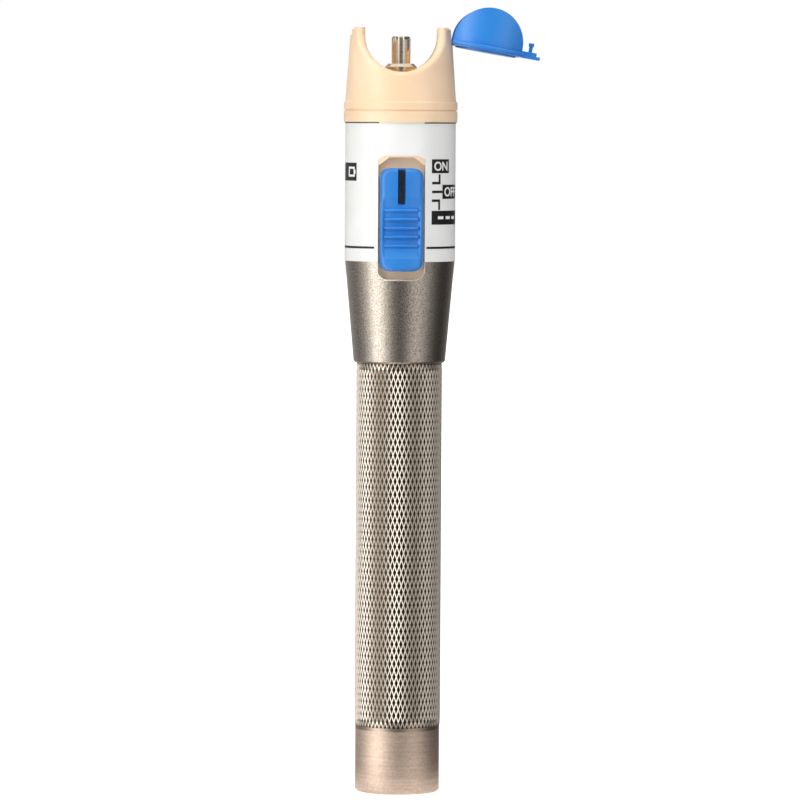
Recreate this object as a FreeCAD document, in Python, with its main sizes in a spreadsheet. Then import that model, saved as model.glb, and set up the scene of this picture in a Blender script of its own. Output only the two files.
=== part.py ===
import FreeCAD, Part
import math
import os
import types
import Sketcher

# A pen-shaped visual fault locator, standing upright on its flat tail cap. Millimetres.
# Z runs up the pen's axis, X to the right and Y away from the slide switch, which faces -Y.
# The origin is the centre of the tail cap's flat base. The dust cap is modelled closed, in a
# frame of its own on the hinge axis, and its placement swings it open.

SIZES = {
    # Two AA cells in line set the length of the pen.
    "battery_diameter": 14.3,
    "battery_length": 50.5,
    "battery_nub_diameter": 5.5,
    "battery_nub_height": 1.2,
    "battery_bevel": 0.4,
    "battery_end_gap": 0.5,
    # Tail cap, its thread, seal and spring.
    "tail_cap_diameter": 19.3,
    "tail_cap_length": 14.4,
    "tail_cap_bevel": 0.5,
    "tail_floor": 2.6,
    "tail_thread_wall": 1.05,
    "tail_thread_length": 6.0,
    "tail_thread_clearance": 0.1,
    "seal_cord": 0.75,
    "seal_bevel": 0.22,
    "seal_groove_depth": 0.7,
    "seal_groove_lead": 0.9,
    "seal_groove_width": 0.95,
    "spring_length": 6.4,
    "spring_wire": 0.8,
    "spring_base_diameter": 12.4,
    "spring_cone_angle": 18.0,
    "spring_turns": 3.5,
    # Grip tube.
    "grip_diameter": 19.6,
    "grip_rim_diameter": 19.3,
    "grip_rim_length": 0.8,
    "battery_clearance": 0.3,
    "grip_thread_wall": 1.45,
    "grip_thread_gap": 0.3,
    "knurl_starts": 36,
    "knurl_angle": 19.0,
    "knurl_depth": 0.32,
    "knurl_root": 0.5,
    # Front barrel: tapered shoulder, label seat and slot for the head's tongue.
    "shoulder_diameter": 21.0,
    "shoulder_length": 23.3,
    "shoulder_edge": 0.4,
    "barrel_diameter": 25.1,
    "barrel_wall": 2.55,
    "socket_depth": 9.3,
    "socket_clearance": 0.05,
    "neck_height": 1.4,
    "neck_clearance": 0.45,
    "label_length": 31.6,
    "label_thickness": 0.08,
    "slot_width": 10.65,
    "slot_corner": 2.3,
    "slot_drop": 4.15,
    "window_length": 24.1,
    "window_corner_width": 1.6,
    "window_corner_height": 0.8,
    # Moulded head.
    "ring_proud": 0.45,
    "ring_height": 4.8,
    "ring_edge": 0.25,
    "ring_groove_level": 2.6,
    "ring_groove_width": 0.3,
    "ring_groove_depth": 0.25,
    "head_height": 16.8,
    "head_base_setback": 0.35,
    "head_top_diameter": 23.1,
    "head_top_edge": 0.5,
    "head_wall": 2.65,
    "cavity_depth": 11.1,
    "head_floor": 2.0,
    "spigot_length": 4.0,
    "spigot_wall": 1.55,
    "spigot_clearance": 0.05,
    "notch_radius": 8.3,
    "notch_depth": 10.1,
    "notch_edge": 1.1,
    "tongue_clearance": 0.05,
    "bed_wall": 1.7,
    "bed_depth": 2.35,
    "recess_length": 27.85,
    "recess_corner_width": 2.5,
    "recess_corner_height": 1.9,
    # Optical port.
    "port_tube_diameter": 4.4,
    "port_tube_length": 6.25,
    "port_tube_bevel": 0.45,
    "port_mouth_bore": 2.7,
    "port_mouth_depth": 0.75,
    "port_flange_diameter": 7.3,
    "port_flange_height": 2.9,
    "port_flange_bevel": 0.7,
    "port_stem_diameter": 5.6,
    "port_stem_clearance": 0.05,
    "port_stem_depth": 4.5,
    "port_light_bore": 2.0,
    "sleeve_bore": 2.52,
    "sleeve_diameter": 3.2,
    "sleeve_length": 11.4,
    "sleeve_slit": 0.4,
    "sleeve_clearance": 0.02,
    # Laser module.
    "housing_diameter": 11.0,
    "housing_length": 13.0,
    "housing_light_bore": 2.6,
    "housing_light_length": 0.9,
    "diode_flange_diameter": 5.6,
    "diode_flange_height": 1.2,
    "diode_inset": 0.6,
    "diode_can_diameter": 3.6,
    "diode_can_height": 2.4,
    "diode_lead_diameter": 0.45,
    "diode_lead_length": 5.0,
    "diode_lead_spread": 0.75,
    "module_clearance": 0.05,
    "lens_diameter": 4.8,
    "lens_thickness": 1.6,
    "lens_curve_radius": 4.0,
    "retainer_bore": 3.9,
    # Battery contact and circuit board.
    "carrier_thickness": 3.0,
    "carrier_clearance": 0.1,
    "contact_head_diameter": 6.0,
    "contact_head_height": 0.8,
    "contact_stem_diameter": 2.4,
    "contact_stem_height": 2.0,
    "contact_clearance": 0.1,
    "cradle_width": 17.2,
    "cradle_depth": 4.0,
    "cradle_height": 3.0,
    "board_width": 15.0,
    "board_length": 34.2,
    "board_thickness": 1.0,
    "board_clearance": 0.05,
    "chip_width": 3.9,
    "chip_length": 4.9,
    "chip_height": 1.5,
    "chip_level": 9.0,
    "capacitor_diameter": 4.0,
    "capacitor_height": 5.4,
    "capacitor_level": 20.0,
    # Slide switch and its blue thumb piece.
    "switch_width": 4.4,
    "switch_length": 12.6,
    "switch_height": 4.7,
    "switch_window_depth": 1.6,
    "lever_width": 1.6,
    "lever_length": 2.0,
    "lever_grip": 1.4,
    "lever_clearance": 0.1,
    "slider_travel": 1.8,
    "slider_end_clearance": 0.2,
    "slider_floor_gap": 0.1,
    "slider_width": 10.1,
    "slider_length": 23.4,
    "slider_proud": 1.15,
    "slider_edge": 0.5,
    "slider_corner_width": 2.3,
    "slider_top_corner": 2.0,
    "slider_bottom_corner": 2.6,
    "slider_corner_round": 1.4,
    "arrow_groove_width": 2.0,
    "arrow_groove_length": 8.3,
    "arrow_groove_depth": 1.7,
    "scoop_width": 8.0,
    "scoop_length": 12.2,
    "scoop_depth": 1.2,
    "scoop_level": -1.5,
    "rib_count": 5,
    "rib_pitch": 2.0,
    "rib_thickness": 0.75,
    "rib_width": 7.6,
    "rib_depth": 0.35,
    "rib_root": 1.5,
    "rib_top_level": 1.95,
    "boss_width": 3.6,
    "boss_length": 5.6,
    "boss_reach": 0.9,
    "barb_width": 0.5,
    "barb_gap": 0.1,
    "slit_clearance": 0.25,
    # Dust cap and its hinge.
    "hinge_inset": 1.65,
    "hinge_drop": 1.72,
    "hinge_pin_diameter": 1.2,
    "hinge_pin_front": 4.2,
    "hinge_pin_back": 5.0,
    "hinge_clearance": 0.05,
    "hinge_slot_width": 5.0,
    "hinge_slot_floor": 3.95,
    "hinge_side_gap": 0.2,
    "lug_diameter": 2.9,
    "cap_open_angle": 190.0,
    "cap_clearance": 0.4,
    "cap_plate_overhang": 0.2,
    "cap_plate_thickness": 1.15,
    "cap_plate_proud": 0.05,
    "cap_plate_setback": 1.0,
    "cap_pad_diameter": 14.0,
    "cap_pad_height": 0.35,
    "skirt_inset": 0.25,
    "skirt_thickness": 1.1,
    "tab_width": 4.8,
    "tab_thickness": 1.5,
    "tab_side_gap": 0.3,
    "tab_floor_gap": 0.15,
    "tab_lip_length": 0.9,
    "tab_lip_thickness": 0.7,
    "nub_inset": 1.45,
    "nub_stem_diameter": 0.84,
    "nub_head_diameter": 1.24,
    "nub_head_height": 0.8,
    "nub_length": 2.1,
    "nub_clearance": 0.15,
    # How far a cutter reaches past what it cuts.
    "cutter_reach": 4.0,
}

# How far apart two edges may lie and still be sewn together.
SEAM_SLACK = 1e-4


class Size:
    """A number that also carries the spreadsheet formula that gives it."""

    def __init__(self, value, formula):
        self.value = value
        self.formula = formula

    def __add__(self, other):
        other = as_size(other)
        return Size(self.value + other.value, f"({self.formula} + {other.formula})")

    def __sub__(self, other):
        other = as_size(other)
        return Size(self.value - other.value, f"({self.formula} - {other.formula})")

    def __mul__(self, other):
        other = as_size(other)
        return Size(self.value * other.value, f"({self.formula} * {other.formula})")

    def __truediv__(self, other):
        other = as_size(other)
        return Size(self.value / other.value, f"({self.formula} / {other.formula})")

    def __neg__(self):
        return Size(-self.value, f"(0 - {self.formula})")


def as_size(number):
    """Turn a plain number into a Size."""
    return number if isinstance(number, Size) else Size(float(number), str(number))


def square_root(size):
    """The square root of a Size."""
    return Size(size.value**0.5, f"sqrt({size.formula})")


def make_sheet(doc):
    """Write the driving dimensions into the spreadsheet and return them as Sizes."""
    sheet = doc.addObject("Spreadsheet::Sheet", "Sizes")
    for row, (name, value) in enumerate(SIZES.items(), start=1):
        sheet.set(f"A{row}", name)
        sheet.set(f"B{row}", str(value))
        sheet.setAlias(f"B{row}", name)
    doc.recompute()
    return types.SimpleNamespace(**{name: Size(value, f"Sizes.{name}") for name, value in SIZES.items()})


document = FreeCAD.newDocument("fault_locator")
dim = make_sheet(document)
ZERO = as_size(0)

# Levels along the pen's axis, from the base up.
battery_base = dim.tail_floor + dim.spring_length
battery_top = battery_base + dim.battery_length * 2 - dim.battery_nub_height
carrier_level = battery_top + dim.battery_end_gap
contact_level = battery_top + dim.battery_nub_height
barrel_bottom = carrier_level - dim.neck_height - dim.socket_depth
shoulder_top = barrel_bottom + dim.shoulder_length
label_top = shoulder_top + dim.label_length
ring_top = label_top + dim.ring_height
head_top = ring_top + dim.head_height
cavity_floor = head_top - dim.cavity_depth
module_top = cavity_floor - dim.head_floor
notch_centre = head_top - dim.notch_depth + dim.notch_radius
hinge_level = head_top - dim.hinge_drop
slot_bottom = shoulder_top - dim.slot_drop
slider_centre = slot_bottom + dim.slider_end_clearance + dim.slider_travel + dim.slider_length / 2
board_level = contact_level + dim.contact_head_height + dim.contact_stem_height

# Radii that mating pieces share.
battery_bore = dim.battery_diameter / 2 + dim.battery_clearance
tail_thread_radius = battery_bore + dim.tail_thread_wall
grip_thread_radius = battery_bore + dim.grip_thread_wall
barrel_radius = dim.barrel_diameter / 2
bore_radius = barrel_radius - dim.barrel_wall
bed_floor = barrel_radius - dim.bed_depth
bed_back = bed_floor - dim.bed_wall
crown_radius = barrel_radius + dim.slider_proud
lever_tip = bed_floor + dim.lever_grip
ring_radius = barrel_radius + dim.ring_proud
head_tip = dim.head_top_diameter / 2
cavity_radius = head_tip - dim.head_wall
hinge_offset = head_tip - dim.hinge_inset
nub_offset = head_tip - dim.nub_inset
lens_radius = dim.lens_diameter / 2
tongue_half_width = dim.slot_width / 2 - dim.tongue_clearance
port_stem_radius = dim.port_stem_diameter / 2
lead_radius = dim.diode_lead_diameter / 2
plate_underside = dim.hinge_drop + dim.cap_plate_proud - dim.cap_plate_thickness

parts = []


def new_body(label, level=ZERO):
    """Start a PartDesign body that stands at a level on the pen's axis."""
    body = document.addObject("PartDesign::Body", label)
    body.Label = label
    place(body, z=level)
    parts.append(body)
    return body


def place(part, x=ZERO, y=ZERO, z=ZERO):
    """Bind a part's position to the sheet."""
    for axis, size in (("x", x), ("y", y), ("z", z)):
        part.setExpression(f"Placement.Base.{axis}", size.formula)


def new_sketch(body, name, plane, offset=ZERO):
    """Add a sketch to a body, parallel to one of its origin planes.

    The normals are +Z for XY, -Y (the front) for XZ and +X for YZ.
    """
    sketch = body.newObject("Sketcher::SketchObject", name)
    support = next(item for item in body.Origin.OriginFeatures if item.Role == f"{plane}_Plane")
    sketch.AttachmentSupport = [(support, "")]
    sketch.MapMode = "FlatFace"
    sketch.setExpression("AttachmentOffset.Base.z", offset.formula)
    return sketch


def drive(sketch, kind, size, *where):
    """Add a dimension to a sketch and bind it to the sheet."""
    index = sketch.addConstraint(Sketcher.Constraint(kind, *where, size.value))
    sketch.setExpression(f"Constraints[{index}]", size.formula)


def draw_outline(sketch, corners, arcs=None):
    """Draw a closed outline through corners given as pairs of Sizes.

    arcs maps the number of a run to a point on its arc, then "X" or "Y" and that coordinate
    of the arc's centre. A sketch counts an arc's ends anticlockwise.
    """
    arcs = arcs or {}
    first = sketch.GeometryCount
    points = [FreeCAD.Vector(x.value, y.value, 0) for x, y in corners]
    starts = []
    for run, start in enumerate(points):
        end = points[(run + 1) % len(points)]
        if run not in arcs:
            sketch.addGeometry(Part.LineSegment(start, end))
            starts.append((1, 2))
            continue
        middle = FreeCAD.Vector(arcs[run][0].value, arcs[run][1].value, 0)
        sketch.addGeometry(Part.Arc(start, middle, end))
        anticlockwise = (middle - start).cross(end - start).z > 0
        starts.append((1, 2) if anticlockwise else (2, 1))
    for run, (x, y) in enumerate(corners):
        nearer, _ = starts[run]
        _, previous_end = starts[run - 1]
        previous = first + (run - 1) % len(corners)
        sketch.addConstraint(Sketcher.Constraint("Coincident", previous, previous_end, first + run, nearer))
        drive(sketch, "DistanceX", x, -1, 1, first + run, nearer)
        drive(sketch, "DistanceY", y, -1, 1, first + run, nearer)
    for run, (_, _, axis, centre) in arcs.items():
        drive(sketch, f"Distance{axis}", centre, -1, 1, first + run, 3)


def draw_circle(sketch, x, y, radius):
    """Draw a circle whose centre and radius are Sizes."""
    centre = FreeCAD.Vector(x.value, y.value, 0)
    index = sketch.addGeometry(Part.Circle(centre, FreeCAD.Vector(0, 0, 1), radius.value))
    drive(sketch, "DistanceX", x, -1, 1, index, 3)
    drive(sketch, "DistanceY", y, -1, 1, index, 3)
    drive(sketch, "Radius", radius, index)


def rectangle(left, right, bottom, top):
    """The four corners of a rectangle."""
    return [(left, bottom), (right, bottom), (right, top), (left, top)]


def centred(width, bottom, top):
    """The four corners of a rectangle that straddles the vertical axis."""
    return rectangle(-(width / 2), width / 2, bottom, top)


def round_bottomed(half_width, bottom, top, corner):
    """The corners and arcs of an upright slot whose two lower corners are rounded."""
    bulge = corner * (1 - 0.5**0.5)
    corners = [
        (-half_width, top),
        (-half_width, bottom + corner),
        (corner - half_width, bottom),
        (half_width - corner, bottom),
        (half_width, bottom + corner),
        (half_width, top),
    ]
    arcs = {
        1: (bulge - half_width, bottom + bulge, "X", corner - half_width),
        3: (half_width - bulge, bottom + bulge, "X", half_width - corner),
    }
    return corners, arcs


def turn(body, sketch, kind="Revolution"):
    """Turn a sketch once round the pen's axis, adding or cutting material."""
    feature = body.newObject(f"PartDesign::{kind}", f"{sketch.Name}_turned")
    feature.Profile = sketch
    feature.ReferenceAxis = (sketch, ["V_Axis"])
    feature.Angle = 360.0
    return feature


def turned_body(label, level, corners, arcs=None):
    """A body turned from one outline of radii and heights."""
    body = new_body(label, level)
    sketch = new_sketch(body, f"{label}_profile", "XZ")
    draw_outline(sketch, corners, arcs)
    turn(body, sketch)
    return body


def extrude(body, sketch, kind, length, both_ways=False, reverse=False):
    """Pad or pocket a sketch by a length.

    A Pad runs along the sketch's normal and a Pocket runs against it, unless reversed.
    """
    feature = body.newObject(f"PartDesign::{kind}", f"{sketch.Name}_{kind.lower()}")
    feature.Profile = sketch
    feature.setExpression("Length", length.formula)
    if both_ways:
        feature.SideType = "Symmetric"
    feature.Reversed = reverse
    return feature


def pad(body, name, plane, offset, corners, length, arcs=None, **options):
    """Pad an outline drawn on a plane at an offset."""
    sketch = new_sketch(body, name, plane, offset)
    draw_outline(sketch, corners, arcs)
    return extrude(body, sketch, "Pad", length, **options)


def cut(body, name, plane, offset, corners, depth, arcs=None, **options):
    """Cut an outline out of a body, starting at an offset from a plane."""
    sketch = new_sketch(body, name, plane, offset)
    draw_outline(sketch, corners, arcs)
    return extrude(body, sketch, "Pocket", depth, **options)


def pad_circle(body, name, plane, offset, centre, radius, length, **options):
    """Pad a disc drawn on a plane at an offset."""
    sketch = new_sketch(body, name, plane, offset)
    draw_circle(sketch, *centre, radius)
    return extrude(body, sketch, "Pad", length, **options)


def bore(body, name, plane, offset, centre, radius, depth, **options):
    """Bore a round hole, starting at an offset from a plane."""
    sketch = new_sketch(body, name, plane, offset)
    draw_circle(sketch, *centre, radius)
    return extrude(body, sketch, "Pocket", depth, **options)


def dress(body, kind, name, size, chosen):
    """Fillet or chamfer every edge of a body for which chosen(edge) is true."""
    document.recompute()
    base = body.Tip
    edges = [f"Edge{n}" for n, edge in enumerate(base.Shape.Edges, start=1) if chosen(edge)]
    if not edges:
        raise RuntimeError(f"{body.Label}: no edge found for {name}")
    feature = body.newObject(f"PartDesign::{kind}", name)
    feature.Base = (base, edges)
    feature.setExpression("Radius" if kind == "Fillet" else "Size", size.formula)
    return feature


def radius_at(point):
    """A point's distance from the pen's axis."""
    return (point.x**2 + point.y**2) ** 0.5


def near(value, size, slack=0.01):
    """Whether a number equals a Size within a slack."""
    return abs(value - size.value) < slack


# Tail cap and what comes off with it


def make_tail_cap():
    """The plain turned tail cap with its hollow threaded spigot."""
    outside = dim.tail_cap_diameter / 2
    bevel = dim.tail_cap_bevel
    groove_bottom = dim.tail_cap_length + dim.seal_groove_lead
    groove_top = groove_bottom + dim.seal_groove_width
    groove_radius = tail_thread_radius - dim.seal_groove_depth
    spigot_top = dim.tail_cap_length + dim.tail_thread_length
    turned_body(
        "tail_cap",
        ZERO,
        [
            (ZERO, ZERO),
            (outside - bevel, ZERO),
            (outside, bevel),
            (outside, dim.tail_cap_length),
            (tail_thread_radius, dim.tail_cap_length),
            (tail_thread_radius, groove_bottom),
            (groove_radius, groove_bottom),
            (groove_radius, groove_top),
            (tail_thread_radius, groove_top),
            (tail_thread_radius, spigot_top),
            (battery_bore, spigot_top),
            (battery_bore, dim.tail_floor),
            (ZERO, dim.tail_floor),
        ],
    )


def make_tail_seal():
    """The bevelled rubber ring in the groove of the tail cap's spigot."""
    inner = tail_thread_radius - dim.seal_groove_depth
    outer = inner + dim.seal_cord
    half = dim.seal_cord / 2
    bevel = dim.seal_bevel
    turned_body(
        "tail_seal",
        dim.tail_cap_length + dim.seal_groove_lead + dim.seal_groove_width / 2,
        [
            (inner, bevel - half),
            (inner + bevel, -half),
            (outer - bevel, -half),
            (outer, bevel - half),
            (outer, half - bevel),
            (outer - bevel, half),
            (inner + bevel, half),
            (inner, half - bevel),
        ],
    )


def make_tail_spring():
    """The conical battery spring that stands on the tail cap's floor."""
    wire_radius = dim.spring_wire / 2
    height = dim.spring_length - dim.spring_wire
    start_radius = dim.spring_base_diameter / 2
    helix = document.addObject("Part::Helix", "spring_path")
    helix.setExpression("Radius", start_radius.formula)
    helix.setExpression("Height", height.formula)
    helix.setExpression("Pitch", (height / dim.spring_turns).formula)
    helix.setExpression("Angle", (-dim.spring_cone_angle).formula)
    section = document.addObject("Part::RegularPolygon", "spring_section")
    section.Polygon = 6
    section.setExpression("Circumradius", wire_radius.formula)
    section.Placement.Rotation = FreeCAD.Rotation(FreeCAD.Vector(1, 0, 0), 90)
    section.setExpression("Placement.Base.x", start_radius.formula)
    spring = document.addObject("Part::Sweep", "tail_spring")
    spring.Label = "tail_spring"
    spring.Sections = [section]
    spring.Spine = (helix, ["Edge1"])
    spring.Solid = True
    spring.Frenet = True
    place(spring, z=dim.tail_floor + wire_radius)
    parts.append(spring)


# Grip and batteries


def make_grip_barrel():
    """The grip: a tube with a thread at each end, and the knurl that is rolled round it."""
    rim = dim.grip_rim_diameter / 2
    root = dim.grip_diameter / 2 - dim.knurl_root
    socket = tail_thread_radius + dim.tail_thread_clearance
    socket_depth = dim.tail_thread_length + dim.grip_thread_gap
    length = barrel_bottom - dim.tail_cap_length
    thread_top = length + dim.socket_depth - dim.grip_thread_gap
    tube = turned_body(
        "grip_tube",
        ZERO,
        [
            (socket, ZERO),
            (rim, ZERO),
            (rim, dim.grip_rim_length),
            (root, dim.grip_rim_length),
            (root, length),
            (grip_thread_radius, length),
            (grip_thread_radius, thread_top),
            (battery_bore, thread_top),
            (battery_bore, socket_depth),
            (socket, socket_depth),
        ],
    )
    parts.remove(tube)
    knurl = document.addObject("Part::Feature", "grip_knurl")
    knurl.Shape = knurl_sleeve(root.value, dim.grip_rim_length.value, length.value)
    grip = document.addObject("Part::Fuse", "grip_barrel")
    grip.Label = "grip_barrel"
    grip.Base = tube
    grip.Tool = knurl
    grip.Refine = False
    place(grip, z=dim.tail_cap_length)
    parts.append(grip)


def knurl_sleeve(inside, bottom, top):
    """A ring whose outside is a net of ridges round four-sided pits.

    The ridges cross on rings of evenly spaced points. Every other ring is turned by half a
    space, and each pit lies level with the middle one of the three rings that bound it.
    """
    outside = SIZES["grip_diameter"] / 2
    starts = SIZES["knurl_starts"]
    space = 2 * math.pi / starts
    half_pit = outside * space / math.tan(math.radians(SIZES["knurl_angle"])) / 2
    rings = max(2, round((top - bottom) / half_pit))

    def point(ring, turn, radius=outside):
        angle = space * (turn + ring % 2 / 2)
        level = bottom + (top - bottom) * ring / rings
        return FreeCAD.Vector(radius * math.cos(angle), radius * math.sin(angle), level)

    def triangle(*corners):
        return Part.Face(Part.makePolygon([*corners, corners[0]]))

    faces = []
    for turn in range(starts):
        faces.append(triangle(point(0, turn), point(0, turn + 1), point(1, turn)))
        under = turn + rings % 2
        faces.append(triangle(point(rings, turn + 1), point(rings, turn), point(rings - 1, under)))
        for ring in range(rings - 1):
            middle = turn + ring % 2
            pit = point(ring + 1, middle - 0.5, outside - SIZES["knurl_depth"])
            around = (
                point(ring, turn),
                point(ring + 1, middle),
                point(ring + 2, turn),
                point(ring + 1, middle - 1),
            )
            for start, end in zip(around, (*around[1:], around[0])):
                faces.append(triangle(start, end, pit))
    for ring, level in ((0, bottom), (rings, top)):
        rim = Part.makePolygon([point(ring, turn) for turn in range(starts)] + [point(ring, 0)])
        hole = Part.Wire(Part.makeCircle(inside, FreeCAD.Vector(0, 0, level)))
        faces.append(Part.Face([rim, hole]))
    tube = Part.makeCylinder(inside, top - bottom, FreeCAD.Vector(0, 0, bottom))
    faces.append(next(face for face in tube.Faces if face.Surface.TypeId == "Part::GeomCylinder"))
    shell = Part.makeShell(faces)
    shell.sewShape()
    sleeve = Part.makeSolid(shell)
    sleeve.fix(SEAM_SLACK, SEAM_SLACK, SEAM_SLACK)
    return sleeve


def make_battery(label, level):
    """One AA cell, its button upward."""
    outside = dim.battery_diameter / 2
    button = dim.battery_nub_diameter / 2
    shoulder = dim.battery_length - dim.battery_nub_height
    bevel = dim.battery_bevel
    turned_body(
        label,
        level,
        [
            (ZERO, ZERO),
            (outside - bevel, ZERO),
            (outside, bevel),
            (outside, shoulder - bevel),
            (outside - bevel, shoulder),
            (button, shoulder),
            (button, dim.battery_length),
            (ZERO, dim.battery_length),
        ],
    )


# Front barrel, label and battery contact


def make_front_barrel():
    """The turned metal barrel: shoulder, label seat, and the slot for the head's tongue."""
    shoulder = dim.shoulder_diameter / 2
    socket = grip_thread_radius + dim.socket_clearance
    neck = dim.battery_diameter / 2 + dim.neck_clearance
    ledge = dim.socket_depth + dim.neck_height
    length = label_top - barrel_bottom
    edge = dim.shoulder_edge
    body = turned_body(
        "front_barrel",
        barrel_bottom,
        [
            (socket, ZERO),
            (shoulder - edge, ZERO),
            (shoulder, edge),
            (barrel_radius, dim.shoulder_length),
            (barrel_radius, length),
            (bore_radius, length),
            (bore_radius, ledge),
            (neck, ledge),
            (neck, dim.socket_depth),
            (socket, dim.socket_depth),
        ],
    )
    bottom = slot_bottom - barrel_bottom
    front = barrel_radius + dim.cutter_reach
    outline, arcs = round_bottomed(dim.slot_width / 2, bottom, length + dim.cutter_reach, dim.slot_corner)
    cut(body, "tongue_slot", "XZ", front, outline, front, arcs)


def make_label_wrap():
    """The printed film round the label seat, with its window for the switch."""
    outside = barrel_radius + dim.label_thickness
    body = turned_body(
        "label_wrap",
        shoulder_top,
        [
            (barrel_radius, ZERO),
            (outside, ZERO),
            (outside, dim.label_length),
            (barrel_radius, dim.label_length),
        ],
    )
    front = outside + dim.cutter_reach
    half_width = dim.slot_width / 2
    corner_level = dim.window_length - dim.window_corner_height
    shoulder = half_width - dim.window_corner_width
    outline = [
        (-half_width, -dim.cutter_reach),
        (half_width, -dim.cutter_reach),
        (half_width, corner_level),
        (shoulder, dim.window_length),
        (-shoulder, dim.window_length),
        (-half_width, corner_level),
    ]
    cut(body, "switch_window", "XZ", front, outline, front)


def make_contact_carrier():
    """The insulator that holds the battery contact and the foot of the circuit board."""
    outside = bore_radius - dim.carrier_clearance
    recess = dim.contact_head_diameter / 2 + dim.contact_clearance
    hole = dim.contact_stem_diameter / 2 + dim.contact_clearance
    recess_height = contact_level + dim.contact_head_height - carrier_level
    top = dim.carrier_thickness
    body = turned_body(
        "contact_carrier",
        carrier_level,
        [
            (recess, ZERO),
            (outside, ZERO),
            (outside, top),
            (hole, top),
            (hole, recess_height),
            (recess, recess_height),
        ],
    )
    half_depth = dim.cradle_depth / 2
    block = centred(dim.cradle_width, -half_depth, half_depth)
    pad(body, "board_cradle", "XY", top, block, dim.cradle_height)
    slot_half = dim.board_thickness / 2 + dim.board_clearance
    slot = centred(dim.board_width + dim.board_clearance * 2, -slot_half, slot_half)
    slot_depth = top + dim.cradle_height - (board_level - carrier_level)
    cut(body, "board_slot", "XY", top + dim.cradle_height, slot, slot_depth)
    centre = (ZERO, ZERO)
    bore(body, "stem_hole", "XY", top + dim.cradle_height, centre, hole, dim.cradle_height)


def make_front_contact():
    """The brass rivet that joins the front battery's button to the circuit board."""
    head = dim.contact_head_diameter / 2
    stem = dim.contact_stem_diameter / 2
    top = dim.contact_head_height + dim.contact_stem_height
    turned_body(
        "front_contact",
        contact_level,
        [
            (ZERO, ZERO),
            (head, ZERO),
            (head, dim.contact_head_height),
            (stem, dim.contact_head_height),
            (stem, top),
            (ZERO, top),
        ],
    )


# Circuit board and slide switch


def make_circuit_board():
    """The driver board that stands in the barrel, between the contact and the laser."""
    body = new_body("circuit_board", board_level)
    outline = centred(dim.board_width, ZERO, dim.board_length)
    pad(body, "board_outline", "XZ", ZERO, outline, dim.board_thickness, both_ways=True)


def make_driver_chip():
    """The laser driver on the back of the board."""
    body = new_body("driver_chip", board_level + dim.chip_level)
    outline = centred(dim.chip_width, ZERO, dim.chip_length)
    pad(body, "chip_outline", "XZ", -(dim.board_thickness / 2), outline, dim.chip_height, reverse=True)


def make_capacitor():
    """The round smoothing capacitor on the back of the board."""
    capacitor = document.addObject("Part::Cylinder", "smoothing_capacitor")
    capacitor.Label = "smoothing_capacitor"
    capacitor.setExpression("Radius", (dim.capacitor_diameter / 2).formula)
    capacitor.setExpression("Height", dim.capacitor_height.formula)
    capacitor.Placement.Rotation = FreeCAD.Rotation(FreeCAD.Vector(1, 0, 0), -90)
    place(capacitor, y=dim.board_thickness / 2, z=board_level + dim.capacitor_level)
    parts.append(capacitor)


def make_switch_body():
    """The three-position slide switch on the front of the board."""
    body = new_body("switch_body", slider_centre)
    half_length = dim.switch_length / 2
    outline = centred(dim.switch_width, -half_length, half_length)
    pad(body, "switch_case", "XZ", dim.board_thickness / 2, outline, dim.switch_height)
    half_window = dim.lever_length / 2 + dim.slider_travel + dim.lever_clearance
    window = centred(dim.lever_width + dim.lever_clearance * 2, -half_window, half_window)
    front = dim.board_thickness / 2 + dim.switch_height
    cut(body, "lever_window", "XZ", front, window, dim.switch_window_depth)


def make_switch_lever():
    """The switch's own lever, which the thumb piece drives."""
    body = new_body("switch_lever", slider_centre)
    half_length = dim.lever_length / 2
    outline = centred(dim.lever_width, -half_length, half_length)
    root = dim.board_thickness / 2 + dim.switch_height - dim.switch_window_depth + dim.lever_clearance
    pad(body, "lever_outline", "XZ", root, outline, lever_tip - root)


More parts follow.
